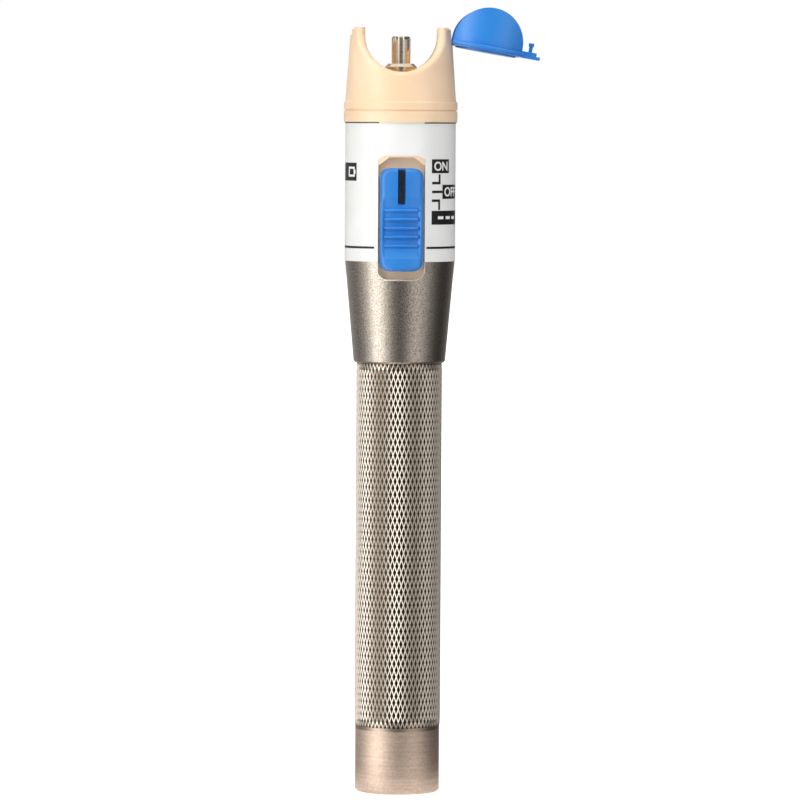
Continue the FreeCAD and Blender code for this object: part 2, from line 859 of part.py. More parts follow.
def make_switch_slider():
    """The blue thumb piece: crowned face, arrow groove, scoop with ribs, and snap-in boss."""
    body = new_body("switch_slider", slider_centre)
    half_width = dim.slider_width / 2
    half_length = dim.slider_length / 2
    flat_half = half_width - dim.slider_corner_width
    top_corner = half_length - dim.slider_top_corner
    bottom_corner = dim.slider_bottom_corner - half_length
    underside = bed_floor + dim.slider_floor_gap
    crown = crown_radius
    outline = [
        (-flat_half, -half_length),
        (flat_half, -half_length),
        (half_width, bottom_corner),
        (half_width, top_corner),
        (flat_half, half_length),
        (-flat_half, half_length),
        (-half_width, top_corner),
        (-half_width, bottom_corner),
    ]
    pad(body, "thumb_outline", "XZ", underside, outline, crown - underside)
    dress(
        body,
        "Fillet",
        "thumb_corners",
        dim.slider_corner_round,
        lambda edge: near(edge.Length, crown - underside),
    )
    crown_sketch = new_sketch(body, "crown_cutter", "XZ")
    draw_outline(crown_sketch, rectangle(crown, crown * 2, -dim.slider_length, dim.slider_length))
    turn(body, crown_sketch, "Groove")
    dress(
        body,
        "Fillet",
        "thumb_rim",
        dim.slider_edge,
        lambda edge: all(near(radius_at(vertex.Point), crown, 0.02) for vertex in edge.Vertexes),
    )
    reach = crown + dim.cutter_reach
    half_scoop = dim.scoop_length / 2
    scoop_top = dim.scoop_level + half_scoop
    scoop_bottom = dim.scoop_level - half_scoop
    scoop_radius = (half_scoop * half_scoop + dim.scoop_depth * dim.scoop_depth) / (dim.scoop_depth * 2)
    scoop_floor = dim.scoop_depth - crown
    cut(
        body,
        "thumb_scoop",
        "YZ",
        ZERO,
        [(-crown, scoop_top), (-crown, scoop_bottom), (-reach, scoop_bottom), (-reach, scoop_top)],
        dim.scoop_width,
        arcs={0: (scoop_floor, dim.scoop_level, "X", scoop_floor - scoop_radius)},
        both_ways=True,
    )
    groove_bottom = half_length - dim.arrow_groove_length
    groove = centred(dim.arrow_groove_width, groove_bottom, half_length + dim.cutter_reach)
    cut(body, "arrow_groove", "XZ", reach, groove, dim.cutter_reach + dim.arrow_groove_depth)
    half_rib = dim.rib_thickness / 2
    rib = centred(dim.rib_width, dim.rib_top_level - half_rib, dim.rib_top_level + half_rib)
    rib_base = crown - dim.rib_root
    rib_pad = pad(body, "thumb_rib", "XZ", rib_base, rib, dim.rib_root - dim.rib_depth)
    ribs = body.newObject("PartDesign::LinearPattern", "thumb_ribs")
    ribs.Originals = [rib_pad]
    ribs.Direction = (body.getObject("thumb_rib"), ["V_Axis"])
    ribs.Reversed = True
    ribs.setExpression("Length", (dim.rib_pitch * (dim.rib_count - 1)).formula)
    ribs.setExpression("Occurrences", dim.rib_count.formula)
    body.Tip = ribs
    add_snap_boss(body, underside)


def add_snap_boss(body, underside):
    """The boss under the thumb piece, barbed behind the head's tongue, with the lever's socket."""
    half_boss = dim.boss_width / 2
    barb_face = bed_back - dim.barb_gap
    boss_end = barb_face - dim.boss_reach
    barb = half_boss + dim.barb_width
    half_length = dim.boss_length / 2
    outline = [
        (-half_boss, -underside),
        (-half_boss, -barb_face),
        (-barb, -barb_face),
        (-half_boss, -boss_end),
        (half_boss, -boss_end),
        (barb, -barb_face),
        (half_boss, -barb_face),
        (half_boss, -underside),
    ]
    pad(body, "snap_boss", "XY", -half_length, outline, dim.boss_length)
    half_socket = dim.lever_length / 2 + dim.lever_clearance
    socket = centred(dim.lever_width + dim.lever_clearance * 2, -half_socket, half_socket)
    socket_depth = lever_tip + dim.lever_clearance - boss_end
    cut(body, "lever_socket", "XZ", boss_end, socket, socket_depth, reverse=True)


# Moulded head, optical port and laser module


def make_head_shell():
    """The moulded head: ring, hollow prongs, tongue with the switch bed, hinge and tab seats."""
    groove = ring_radius - dim.ring_groove_depth
    edge = dim.ring_edge
    tip_edge = dim.head_top_edge
    groove_bottom = dim.ring_groove_level
    groove_top = groove_bottom + dim.ring_groove_width
    top = dim.ring_height + dim.head_height
    floor = top - dim.cavity_depth
    underside = floor - dim.head_floor
    hole = port_stem_radius + dim.port_stem_clearance
    spigot = bore_radius - dim.spigot_clearance
    spigot_inside = spigot - dim.spigot_wall
    head_base = ring_radius - dim.head_base_setback
    body = turned_body(
        "head_shell",
        label_top,
        [
            (spigot_inside, -dim.spigot_length),
            (spigot, -dim.spigot_length),
            (spigot, ZERO),
            (ring_radius - edge, ZERO),
            (ring_radius, edge),
            (ring_radius, groove_bottom),
            (groove, groove_bottom),
            (groove, groove_top),
            (ring_radius, groove_top),
            (ring_radius, dim.ring_height - edge),
            (ring_radius - edge, dim.ring_height),
            (head_base, dim.ring_height),
            (head_tip, top - tip_edge),
            (head_tip - tip_edge, top),
            (cavity_radius + tip_edge, top),
            (cavity_radius, top - tip_edge),
            (cavity_radius, floor),
            (hole, floor),
            (hole, underside),
            (spigot_inside, underside),
        ],
    )
    cut_notches(body, top, head_base)
    add_tongue(body)
    cut_hinge_seat(body, top)
    cut_tab_seat(body, top)


def cut_notches(body, top, head_base):
    """Cut the U-shaped notches that leave two prongs, and round their outer edges."""
    centre = notch_centre - label_top
    bore(body, "notch_round", "XZ", ZERO, (ZERO, centre), dim.notch_radius, ring_radius * 4, both_ways=True)
    straight = centred(dim.notch_radius * 2, centre, top + dim.cutter_reach)
    cut(body, "notch_sides", "XZ", ZERO, straight, ring_radius * 4, both_ways=True)

    def on_outside(edge):
        if edge.BoundBox.ZMin < dim.ring_height.value + 1 or edge.BoundBox.ZLength < 0.5:
            return False
        middle = edge.valueAt((edge.FirstParameter + edge.LastParameter) / 2)
        share = (middle.z - dim.ring_height.value) / (dim.head_height - dim.head_top_edge).value
        skin = head_base.value + (head_tip.value - head_base.value) * share
        return abs(radius_at(middle) - skin) < 0.02 and abs(middle.x) < dim.notch_radius.value + 0.01

    dress(body, "Fillet", "notch_rims", dim.notch_edge, on_outside)


def add_tongue(body):
    """Add the tongue that runs down the barrel's slot, with the bed that the slider runs in."""
    bottom = slot_bottom + dim.tongue_clearance - label_top
    half_width = tongue_half_width
    front = barrel_radius + dim.cutter_reach
    corner = dim.slot_corner - dim.tongue_clearance
    outline, arcs = round_bottomed(half_width, bottom, dim.ring_height / 2, corner)
    pad(body, "tongue", "XZ", bed_back, outline, front - bed_back, arcs)
    skin = new_sketch(body, "tongue_skin", "XZ")
    draw_outline(skin, rectangle(barrel_radius, front * 2, bottom - dim.cutter_reach, ZERO))
    turn(body, skin, "Groove")
    ring_front = new_sketch(body, "ring_front", "XZ")
    draw_outline(ring_front, rectangle(ring_radius, front * 2, ZERO, dim.ring_height))
    turn(body, ring_front, "Groove")
    recess_top = slot_bottom + dim.recess_length - label_top
    side = half_width + dim.cutter_reach
    shoulder = dim.slot_width / 2 - dim.recess_corner_width
    edge_x = dim.slot_width / 2
    low = bottom - dim.cutter_reach
    corner_level = recess_top - dim.recess_corner_height
    bed = [
        (-side, low),
        (side, low),
        (side, corner_level),
        (edge_x, corner_level),
        (shoulder, recess_top),
        (-shoulder, recess_top),
        (-edge_x, corner_level),
        (-side, corner_level),
    ]
    cut(body, "switch_bed", "XZ", front, bed, front - bed_floor)
    slit_half = dim.boss_length / 2 + dim.slider_travel + dim.slit_clearance
    slit_level = slider_centre - label_top
    slit = centred(dim.boss_width + dim.slit_clearance * 2, slit_level - slit_half, slit_level + slit_half)
    cut(body, "boss_slit", "XZ", front, slit, front - bed_back + dim.cutter_reach / 4)


def cut_hinge_seat(body, top):
    """Cut the slot in the right prong for the cap's lug, and the hole for its pin."""
    outside = ring_radius + dim.cutter_reach
    half_slot = dim.hinge_slot_width / 2
    slot = rectangle(dim.notch_radius, outside, -half_slot, half_slot)
    reach = dim.cutter_reach
    cut(body, "hinge_slot", "XY", top + reach, slot, dim.hinge_slot_floor + reach)
    centre = (hinge_offset, top - dim.hinge_drop)
    depth = ring_radius + dim.hinge_pin_front
    bore(body, "pin_hole", "XZ", dim.hinge_pin_front, centre, dim.hinge_pin_diameter / 2, depth)


def cut_tab_seat(body, top):
    """Cut the seat in the left prong for the cap's tab, and the hole for its nub."""
    outside = ring_radius + dim.cutter_reach
    half_slot = dim.tab_width / 2 + dim.tab_side_gap
    slot = rectangle(-outside, -dim.notch_radius, -half_slot, half_slot)
    reach = dim.cutter_reach
    seat_depth = dim.tab_thickness - dim.cap_plate_proud + dim.tab_floor_gap
    cut(body, "tab_seat", "XY", top + reach, slot, seat_depth + reach)
    radius = dim.nub_head_diameter / 2 + dim.nub_clearance
    depth = seat_depth + dim.nub_length
    bore(body, "nub_hole", "XY", top, (-nub_offset, ZERO), radius, depth)


def make_adapter_body():
    """The plated optical port: threaded stem, bevelled flange and tube."""
    stem_bottom = module_top - dim.port_stem_depth
    flange_seat = cavity_floor - stem_bottom
    flange_top = flange_seat + dim.port_flange_height
    tube_top = flange_top + dim.port_tube_length
    sleeve_top = tube_top - dim.port_mouth_depth
    sleeve_bottom = sleeve_top - dim.sleeve_length
    flange = dim.port_flange_diameter / 2
    tube = dim.port_tube_diameter / 2
    mouth = dim.port_mouth_bore / 2
    seat = dim.sleeve_diameter / 2 + dim.sleeve_clearance
    light = dim.port_light_bore / 2
    bevel = dim.port_flange_bevel
    turned_body(
        "adapter_body",
        stem_bottom,
        [
            (light, ZERO),
            (port_stem_radius, ZERO),
            (port_stem_radius, flange_seat),
            (flange, flange_seat),
            (flange, flange_top - bevel),
            (flange - bevel, flange_top),
            (tube, flange_top),
            (tube, tube_top - dim.port_tube_bevel),
            (tube - dim.port_tube_bevel, tube_top),
            (mouth, tube_top),
            (mouth, sleeve_top),
            (seat, sleeve_top),
            (seat, sleeve_bottom),
            (light, sleeve_bottom),
        ],
    )
    make_alignment_sleeve(stem_bottom + sleeve_bottom)


def make_alignment_sleeve(level):
    """The split ceramic sleeve that grips a 2.5 mm ferrule."""
    outside = dim.sleeve_diameter / 2
    body = turned_body(
        "alignment_sleeve",
        level,
        rectangle(dim.sleeve_bore / 2, outside, ZERO, dim.sleeve_length),
    )
    half_slit = dim.sleeve_slit / 2
    slit = rectangle(-half_slit, half_slit, ZERO, outside + dim.cutter_reach)
    cut(body, "sleeve_split", "XY", dim.sleeve_length, slit, dim.sleeve_length)


def make_laser_module():
    """The brass housing under the port with its lens, spacer and laser diode."""
    level = module_top - dim.housing_length
    outside = dim.housing_diameter / 2
    diode_bore = dim.diode_flange_diameter / 2 + dim.module_clearance
    lens_bore = lens_radius + dim.module_clearance
    stem_bore = port_stem_radius + dim.port_stem_clearance
    light = dim.housing_light_bore / 2
    stem_floor = dim.housing_length - dim.port_stem_depth
    lens_seat = stem_floor - dim.housing_light_length
    diode_seat = dim.diode_inset + dim.diode_flange_height
    turned_body(
        "laser_housing",
        level,
        [
            (diode_bore, ZERO),
            (outside, ZERO),
            (outside, dim.housing_length),
            (stem_bore, dim.housing_length),
            (stem_bore, stem_floor),
            (light, stem_floor),
            (light, lens_seat),
            (lens_bore, lens_seat),
            (lens_bore, diode_seat),
            (diode_bore, diode_seat),
        ],
    )
    lens_level = level + lens_seat - dim.lens_thickness
    make_laser_diode(level + dim.diode_inset)
    make_focus_lens(lens_level)
    retainer = dim.retainer_bore / 2
    curve = dim.lens_curve_radius
    drop = curve - square_root(curve * curve - retainer * retainer)
    height = lens_level + drop - (level + diode_seat)
    turned_body("lens_retainer", level + diode_seat, rectangle(retainer, lens_radius, ZERO, height))


def make_laser_diode(level):
    """The laser diode: flanged can with three leads that straddle the circuit board."""
    flange = dim.diode_flange_diameter / 2
    can = dim.diode_can_diameter / 2
    top = dim.diode_flange_height + dim.diode_can_height
    body = turned_body(
        "laser_diode",
        level,
        [
            (ZERO, ZERO),
            (flange, ZERO),
            (flange, dim.diode_flange_height),
            (can, dim.diode_flange_height),
            (can, top),
            (ZERO, top),
        ],
    )
    offset = dim.board_thickness / 2 + lead_radius
    leads = new_sketch(body, "diode_leads", "XY")
    for x, y in ((-dim.diode_lead_spread, -offset), (dim.diode_lead_spread, -offset), (ZERO, offset)):
        draw_circle(leads, x, y, lead_radius)
    extrude(body, leads, "Pad", dim.diode_lead_length, reverse=True)


def make_focus_lens(level):
    """The plano-convex lens, its curved face down towards the diode."""
    blank = document.addObject("Part::Cylinder", "lens_blank")
    blank.setExpression("Radius", lens_radius.formula)
    blank.setExpression("Height", dim.lens_thickness.formula)
    ball = document.addObject("Part::Sphere", "lens_curve")
    ball.setExpression("Radius", dim.lens_curve_radius.formula)
    ball.setExpression("Placement.Base.z", dim.lens_curve_radius.formula)
    lens = document.addObject("Part::Common", "focus_lens")
    lens.Label = "focus_lens"
    lens.Base = blank
    lens.Tool = ball
    place(lens, z=level)
    parts.append(lens)


# Dust cap and hinge pin


def make_hinge_pin():
    """The steel pin across the right prong."""
    pin = document.addObject("Part::Cylinder", "hinge_pin")
    pin.Label = "hinge_pin"
    pin.setExpression("Radius", (dim.hinge_pin_diameter / 2).formula)
    pin.setExpression("Height", (dim.hinge_pin_front + dim.hinge_pin_back).formula)
    pin.Placement.Rotation = FreeCAD.Rotation(FreeCAD.Vector(1, 0, 0), -90)
    place(pin, x=hinge_offset, y=-dim.hinge_pin_front, z=hinge_level)
    parts.append(pin)


def make_dust_cap():
    """The blue cap: plate, two skirts that fill the notches, lug, tab and nub.

    It is modelled closed, with its hinge axis along Y through its own origin.
    """
    body = new_body("dust_cap")
    place(body, x=hinge_offset, z=hinge_level)
    body.Placement.Rotation = FreeCAD.Rotation(FreeCAD.Vector(0, 1, 0), SIZES["cap_open_angle"])
    body.setExpression("Placement.Rotation.Angle", dim.cap_open_angle.formula)
    centre = (-hinge_offset, ZERO)
    plate_top = plate_underside + dim.cap_plate_thickness
    add_skirts(body, centre)
    plate_radius = head_tip + dim.cap_plate_overhang
    pad_circle(body, "cap_plate", "XY", plate_underside, centre, plate_radius, dim.cap_plate_thickness)
    skirt_half = dim.notch_radius - dim.cap_clearance
    plate_end = skirt_half + dim.cap_plate_setback / 2
    wide = dim.head_top_diameter * 2
    right_end = rectangle(-hinge_offset + plate_end - dim.cap_plate_setback, wide, -wide, wide)
    cut(body, "plate_hinge_end", "XY", plate_top, right_end, dim.cap_plate_thickness)
    left_end = rectangle(-wide, -hinge_offset - skirt_half, -wide, wide)
    cut(body, "plate_tab_end", "XY", plate_top, left_end, dim.cap_plate_thickness)
    pad_circle(body, "cap_pad", "XY", plate_top, centre, dim.cap_pad_diameter / 2, dim.cap_pad_height)
    add_tab(body, plate_top, skirt_half)
    add_lug(body, plate_top, skirt_half)


def add_skirts(body, centre):
    """The front and back skirts: one ring wall, cut to the U shape of the notches."""
    outside = head_tip - dim.skirt_inset
    half = dim.notch_radius - dim.cap_clearance
    round_level = notch_centre - hinge_level
    bottom = round_level - half
    wall = new_sketch(body, "skirt_wall", "XY", plate_underside)
    draw_circle(wall, *centre, outside)
    draw_circle(wall, *centre, outside - dim.skirt_thickness)
    extrude(body, wall, "Pad", plate_underside - bottom, reverse=True)
    left = -hinge_offset - half
    right = half - hinge_offset
    wide = dim.head_top_diameter
    high = plate_underside + dim.cutter_reach
    low = bottom - dim.cutter_reach
    sketch = new_sketch(body, "skirt_shape", "XZ")
    draw_outline(sketch, rectangle(-wide * 2, wide, low, high + dim.cutter_reach))
    inner = [(left, high), (left, round_level), (right, round_level), (right, high)]
    draw_outline(sketch, inner, arcs={1: (-hinge_offset, bottom, "Y", round_level)})
    extrude(body, sketch, "Pocket", wide * 2, both_ways=True)


def add_tab(body, plate_top, skirt_half):
    """The thumb tab with its thin lip, and the nub that plugs into the left prong."""
    half_width = dim.tab_width / 2
    root = -hinge_offset - skirt_half + dim.cap_plate_setback
    tip = -hinge_offset - head_tip
    bottom = plate_top - dim.tab_thickness
    pad(body, "cap_tab", "XY", bottom, rectangle(tip, root, -half_width, half_width), dim.tab_thickness)
    lip = rectangle(tip - dim.tab_lip_length, tip, -half_width, half_width)
    pad(body, "cap_tab_lip", "XY", plate_top - dim.tab_lip_thickness, lip, dim.tab_lip_thickness)
    centre = (-hinge_offset - nub_offset, ZERO)
    neck = dim.nub_length - dim.nub_head_height
    pad_circle(body, "nub_stem", "XY", bottom, centre, dim.nub_stem_diameter / 2, neck, reverse=True)
    head = dim.nub_head_diameter / 2
    pad_circle(body, "nub_head", "XY", bottom - neck, centre, head, dim.nub_head_height, reverse=True)


def add_lug(body, plate_top, skirt_half):
    """The arm and eye by which the cap turns on the hinge pin."""
    half_width = dim.hinge_slot_width / 2 - dim.hinge_side_gap
    root = skirt_half - hinge_offset - dim.cap_plate_setback
    arm = rectangle(root, ZERO, -half_width, half_width)
    pad(body, "lug_arm", "XY", plate_underside, arm, plate_top - plate_underside)
    here = (ZERO, ZERO)
    pad_circle(body, "lug_eye", "XZ", ZERO, here, dim.lug_diameter / 2, half_width * 2, both_ways=True)
    hole = dim.hinge_pin_diameter / 2 + dim.hinge_clearance
    bore(body, "lug_bore", "XZ", ZERO, here, hole, dim.hinge_slot_width, both_ways=True)


def check_model():
    """Stop if any object failed, or if a cut took nothing away."""
    for item in document.Objects:
        bad = [state for state in item.State if state in ("Invalid", "Error")]
        if bad:
            raise RuntimeError(f"{item.Label}: {bad}")
        if item.isDerivedFrom("PartDesign::SketchBased") and getattr(item, "BaseFeature", None):
            if abs(item.Shape.Volume - item.BaseFeature.Shape.Volume) < 1e-9:
                raise RuntimeError(f"{item.Label} changes nothing")
    for part in parts:
        if part.Shape.isNull() or not part.Shape.isValid():
            raise RuntimeError(f"{part.Label}: bad shape")


def main():
    """Build every part, check the model and write one STEP file for each part."""
    make_tail_cap()
    make_tail_seal()
    make_tail_spring()
    make_grip_barrel()
    make_battery("battery_rear", battery_base)
    make_battery("battery_front", battery_base + dim.battery_length)
    make_front_barrel()
    make_label_wrap()
    make_contact_carrier()
    make_front_contact()
    make_circuit_board()
    make_driver_chip()
    make_capacitor()
    make_switch_body()
    make_switch_lever()
    make_switch_slider()
    make_head_shell()
    make_adapter_body()
    make_laser_module()
    make_hinge_pin()
    make_dust_cap()
    document.recompute()
    check_model()
    os.makedirs("parts", exist_ok=True)
    for part in parts:
        part.Shape.exportStep(f"parts/{part.Label}.step")
        print(part.Label, round(part.Shape.Volume, 2), len(part.Shape.Solids))


main()
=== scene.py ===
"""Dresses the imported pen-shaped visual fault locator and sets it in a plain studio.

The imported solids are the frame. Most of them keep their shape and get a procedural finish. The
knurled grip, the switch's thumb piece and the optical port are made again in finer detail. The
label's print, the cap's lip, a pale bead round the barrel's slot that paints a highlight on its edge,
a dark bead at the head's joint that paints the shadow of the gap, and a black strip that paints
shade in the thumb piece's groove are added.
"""

import functools
import logging
import math
from dataclasses import dataclass, field
from enum import Enum
from typing import Any

import bmesh
import bpy
from mathutils import Euler, Matrix, Vector


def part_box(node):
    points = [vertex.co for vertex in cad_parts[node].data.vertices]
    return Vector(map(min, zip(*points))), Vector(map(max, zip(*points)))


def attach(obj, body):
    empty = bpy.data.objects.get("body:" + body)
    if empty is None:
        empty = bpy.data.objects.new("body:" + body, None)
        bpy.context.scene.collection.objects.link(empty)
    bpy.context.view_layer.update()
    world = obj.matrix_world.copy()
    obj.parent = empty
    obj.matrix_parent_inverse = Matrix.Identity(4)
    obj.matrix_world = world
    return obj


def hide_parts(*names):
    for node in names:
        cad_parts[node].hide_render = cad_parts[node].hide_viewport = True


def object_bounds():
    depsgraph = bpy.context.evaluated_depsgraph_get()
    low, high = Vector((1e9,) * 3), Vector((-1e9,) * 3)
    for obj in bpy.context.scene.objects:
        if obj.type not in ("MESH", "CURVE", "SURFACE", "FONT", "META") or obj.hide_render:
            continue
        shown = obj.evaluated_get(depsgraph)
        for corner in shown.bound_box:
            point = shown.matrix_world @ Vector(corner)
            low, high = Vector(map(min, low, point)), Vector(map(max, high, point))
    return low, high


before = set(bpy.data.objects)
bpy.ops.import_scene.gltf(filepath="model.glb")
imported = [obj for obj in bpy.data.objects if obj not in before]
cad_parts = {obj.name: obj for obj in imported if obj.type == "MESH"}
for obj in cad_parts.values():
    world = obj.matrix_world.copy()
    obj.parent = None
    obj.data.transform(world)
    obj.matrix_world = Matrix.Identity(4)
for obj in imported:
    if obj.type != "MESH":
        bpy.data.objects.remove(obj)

CAD_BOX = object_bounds()
LOG = logging.getLogger("fault_locator")

MM = 0.001
# Past this angle, in degrees, an edge of a smooth surface stays sharp.
SHARP_ANGLE = 30.0
# How wide a step of the ink is where it bends round the film, in mm.
INK_STEP = 0.35
# How much the lettering is fattened, as a share of its type size.
LETTER_WEIGHT = 0.024

# The kinds of node that come up most.
MATHS = "ShaderNodeMath"
VECTOR_MATHS = "ShaderNodeVectorMath"
MAP_RANGE = "ShaderNodeMapRange"
NOISE = "ShaderNodeTexNoise"
SEPARATE = "ShaderNodeSeparateXYZ"
COMBINE = "ShaderNodeCombineXYZ"

Colour = tuple[float, float, float, float]
Point2 = tuple[float, float]
Point3 = tuple[float, float, float]
Box = tuple[float, float, float, float]
Inputs = dict[str | int, Any]
Mesh = bpy.types.Mesh
Form = bmesh.types.BMesh
Node = bpy.types.Node
Socket = bpy.types.NodeSocket
Tree = bpy.types.NodeTree
Sizes = bpy.types.NodeOutputs


class Body(Enum):
    """The rigid bodies that the pieces ride on."""

    PEN = "pen"
    CAP = "cap"
    SLIDER = "slider"
    TAIL = "tail"


class Ray(Enum):
    """The kinds of ray that see the white backdrop, by the names of Light Path's outputs."""

    CAMERA = "Is Camera Ray"
    GLOSSY = "Is Glossy Ray"
    TRANSMISSION = "Is Transmission Ray"


class Legend(Enum):
    """What is printed in white in a black box of the label."""

    ON = "ON"
    OFF = "OFF"
    PULSE = "pulse"
    CELL = "cell"


def linear_colour(code: str) -> Colour:
    """Turn an sRGB hex value into the linear colour that the nodes take.

    Args:
        code: Six hex digits, such as "F2CAAE".

    Returns:
        The red, green and blue of the colour, and an alpha of 1.
    """
    values = [int(code[i : i + 2], 16) / 255 for i in (0, 2, 4)]
    red, green, blue = (v / 12.92 if v <= 0.04045 else ((v + 0.055) / 1.055) ** 2.4 for v in values)
    return (red, green, blue, 1.0)


def feed(tree: Tree, target: Socket, value: Any) -> None:
    """Link an input to a socket or to a node's first output, or set its value.

    Args:
        tree: The node tree.
        target: The input.
        value: The socket, the node or the value.
    """
    if isinstance(value, Node):
        value = value.outputs[0]
    if isinstance(value, Socket):
        tree.links.new(value, target)
    else:
        target.default_value = value


def add_node(tree: Tree, kind: str, inputs: Inputs | list[Any] | None = None, **settings: Any) -> Node:
    """Add a node with its settings and its links.

    Args:
        tree: The node tree to add it to.
        kind: The node's type.
        inputs: What its inputs take, in order, or by name or number.
        settings: The node's properties.

    Returns:
        The new node.
    """
    node = tree.nodes.new(kind)
    for name, value in settings.items():
        setattr(node, name, value)
    for key, value in inputs.items() if isinstance(inputs, dict) else enumerate(inputs or []):
        feed(tree, node.inputs[key], value)
    return node


def emptied_tree(owner: bpy.types.Material | bpy.types.World) -> Tree:
    """Turn on the nodes of a material or a world, and clear them.

    Args:
        owner: The material or the world.

    Returns:
        Its empty node tree.
    """
    owner.use_nodes = True
    owner.node_tree.nodes.clear()
    return owner.node_tree


# ---------------------------------------------------------------------------------------------
# Finishes
# ---------------------------------------------------------------------------------------------


@dataclass(frozen=True)
class Finish:
    """A surface finish, from which one procedural material is made.

    Attributes:
        name: What the real material is and how its surface was made.
        colour: Its main colour, as sRGB hex.
        shade: The second colour of its pattern, as sRGB hex.
        roughness: The middle of its range of roughness.
        metallic: 1 for a metal, 0 for anything else.
        ior: The index of refraction. A metal keeps the default.
    """

    name: str
    colour: str
    shade: str
    roughness: float
    metallic: float = 0.0
    ior: float = 1.5

    def constants(self) -> Inputs:
        """Return the shader's inputs that are the same all over the surface."""
        return {"Metallic": self.metallic, "IOR": self.ior}

    def pattern(self, tree: Tree, place: Socket) -> Inputs:
        """Build the nodes of the finish's own pattern.

        Args:
            tree: The material's node tree.
            place: The place on the object, in metres.

        Returns:
            What the shader's inputs take.
        """
        raise NotImplementedError

    def mixed(self, tree: Tree, tone: Node, low: float, high: float) -> Socket:
        """Mix the two colours by a tone. A metal's tone rises to its main colour, others' to the shade.

        Args:
            tree: The material's node tree.
            tone: The node that gives the tone.
            low: The tone where the mix starts.
            high: The tone where it ends.

        Returns:
            The mixed colour.
        """
        share = add_node(tree, MAP_RANGE, {"Value": tone, "From Min": low, "From Max": high})
        first, second = (self.shade, self.colour) if self.metallic else (self.colour, self.shade)
        ends = {"Factor": share, 6: linear_colour(first), 7: linear_colour(second)}
        return add_node(tree, "ShaderNodeMix", ends, data_type="RGBA").outputs[2]

    def worked(
        self,
        tree: Tree,
        colour: Socket,
        grain: Node | Socket,
        swing: Point2,
        height: Node | Socket,
        relief: float,
        strength: float = 1.0,
    ) -> Inputs:
        """Move the roughness with a grain and the normal with a height.

        Args:
            tree: The material's node tree.
            colour: The surface's colour.
            grain: What moves the roughness.
            swing: How far the roughness is from its middle at the grain's low and high.
            height: What moves the normal.
            relief: How deep the surface is, in mm.
            strength: How much of that relief the normal takes.

        Returns:
            The shader's colour, roughness and normal.
        """
        low, high = self.roughness + swing[0], self.roughness + swing[1]
        gloss = add_node(tree, MAP_RANGE, {"Value": grain, "To Min": low, "To Max": high})
        raised = {"Height": height, "Distance": relief * MM, "Strength": strength}
        bump = add_node(tree, "ShaderNodeBump", raised)
        return {"Base Color": colour, "Roughness": gloss, "Normal": bump}


@functools.cache
def material_of(finish: Finish) -> bpy.types.Material:
    """Make a finish's material, once.

    Args:
        finish: The finish to make it from.

    Returns:
        The material.
    """
    material = bpy.data.materials.new(finish.name)
    tree = emptied_tree(material)
    place = add_node(tree, "ShaderNodeTexCoord").outputs["Object"]
    look = finish.constants() | finish.pattern(tree, place)
    shader = add_node(tree, "ShaderNodeBsdfPrincipled", look)
    add_node(tree, "ShaderNodeOutputMaterial", {"Surface": shader})
    return material


@dataclass(frozen=True)
class MouldedPlastic(Finish):
    """Injection-moulded plastic: soft mottling of the colour, a fine tool texture and a low gloss.

    Attributes:
        mottle: How wide the clouds of colour are, in mm.
        texture: How wide the grain of the mould's surface is, in mm.
        relief: How deep that grain is, in mm.
        translucency: How much light goes under the surface.
    """

    mottle: float = 9.0
    texture: float = 0.45
    relief: float = 0.004
    translucency: float = 0.0

    def constants(self) -> Inputs:
        """Add the light that goes under the surface to the constants."""
        depth = {"Subsurface Radius": (1.0, 0.6, 0.35), "Subsurface Scale": 1.2 * MM}
        return super().constants() | {"Subsurface Weight": self.translucency} | depth

    def pattern(self, tree: Tree, place: Socket) -> Inputs:
        """Build clouds of colour, and a grain that moves the roughness and the normal.

        Args:
            tree: The material's node tree.
            place: The place on the object, in metres.

        Returns:
            The shader's colour, roughness and normal.
        """
        wide = {"Vector": place, "Scale": 1 / (self.mottle * MM), "Detail": 3.0}
        clouds = add_node(tree, NOISE, wide)
        fine = {"Vector": place, "Scale": 1 / (self.texture * MM), "Detail": 2.0}
        grain = add_node(tree, NOISE, fine)
        colour = self.mixed(tree, clouds, 0.35, 0.65)
        return self.worked(tree, colour, grain, (-0.05, 0.05), grain, self.relief)


@dataclass(frozen=True)
class BlastedMetal(Finish):
    """Bead-blasted and anodised metal: each tiny crater's colour is mixed paler or darker, as painted
    sparkle.

    Attributes:
        grit: How wide the craters show, in mm.
        relief: How deep they are, in mm.
        painted_sparkle: How far the colour of a crater strays from the mean, from 0 to 1, as painted
            glints.
    """

    grit: float = 0.32
    relief: float = 0.006
    painted_sparkle: float = 0.5

    def pattern(self, tree: Tree, place: Socket) -> Inputs:
        """Build the craters, which set the colour as painted sparkle, the roughness and the normal.

        Args:
            tree: The material's node tree.
            place: The place on the object, in metres.

        Returns:
            The shader's colour, roughness and normal.
        """
        pitted = {"Vector": place, "Scale": 1 / (self.grit * MM), "Detail": 2.0, "Roughness": 0.7}
        craters = add_node(tree, NOISE, pitted)
        # Painted sparkle: the crater pattern mixes the colour paler and darker.
        reach = 0.2 * (0.5 / max(self.painted_sparkle, 0.01))
        colour = self.mixed(tree, craters, 0.5 - reach, 0.5 + reach)
        return self.worked(tree, colour, craters, (0.06, -0.06), craters, self.relief)


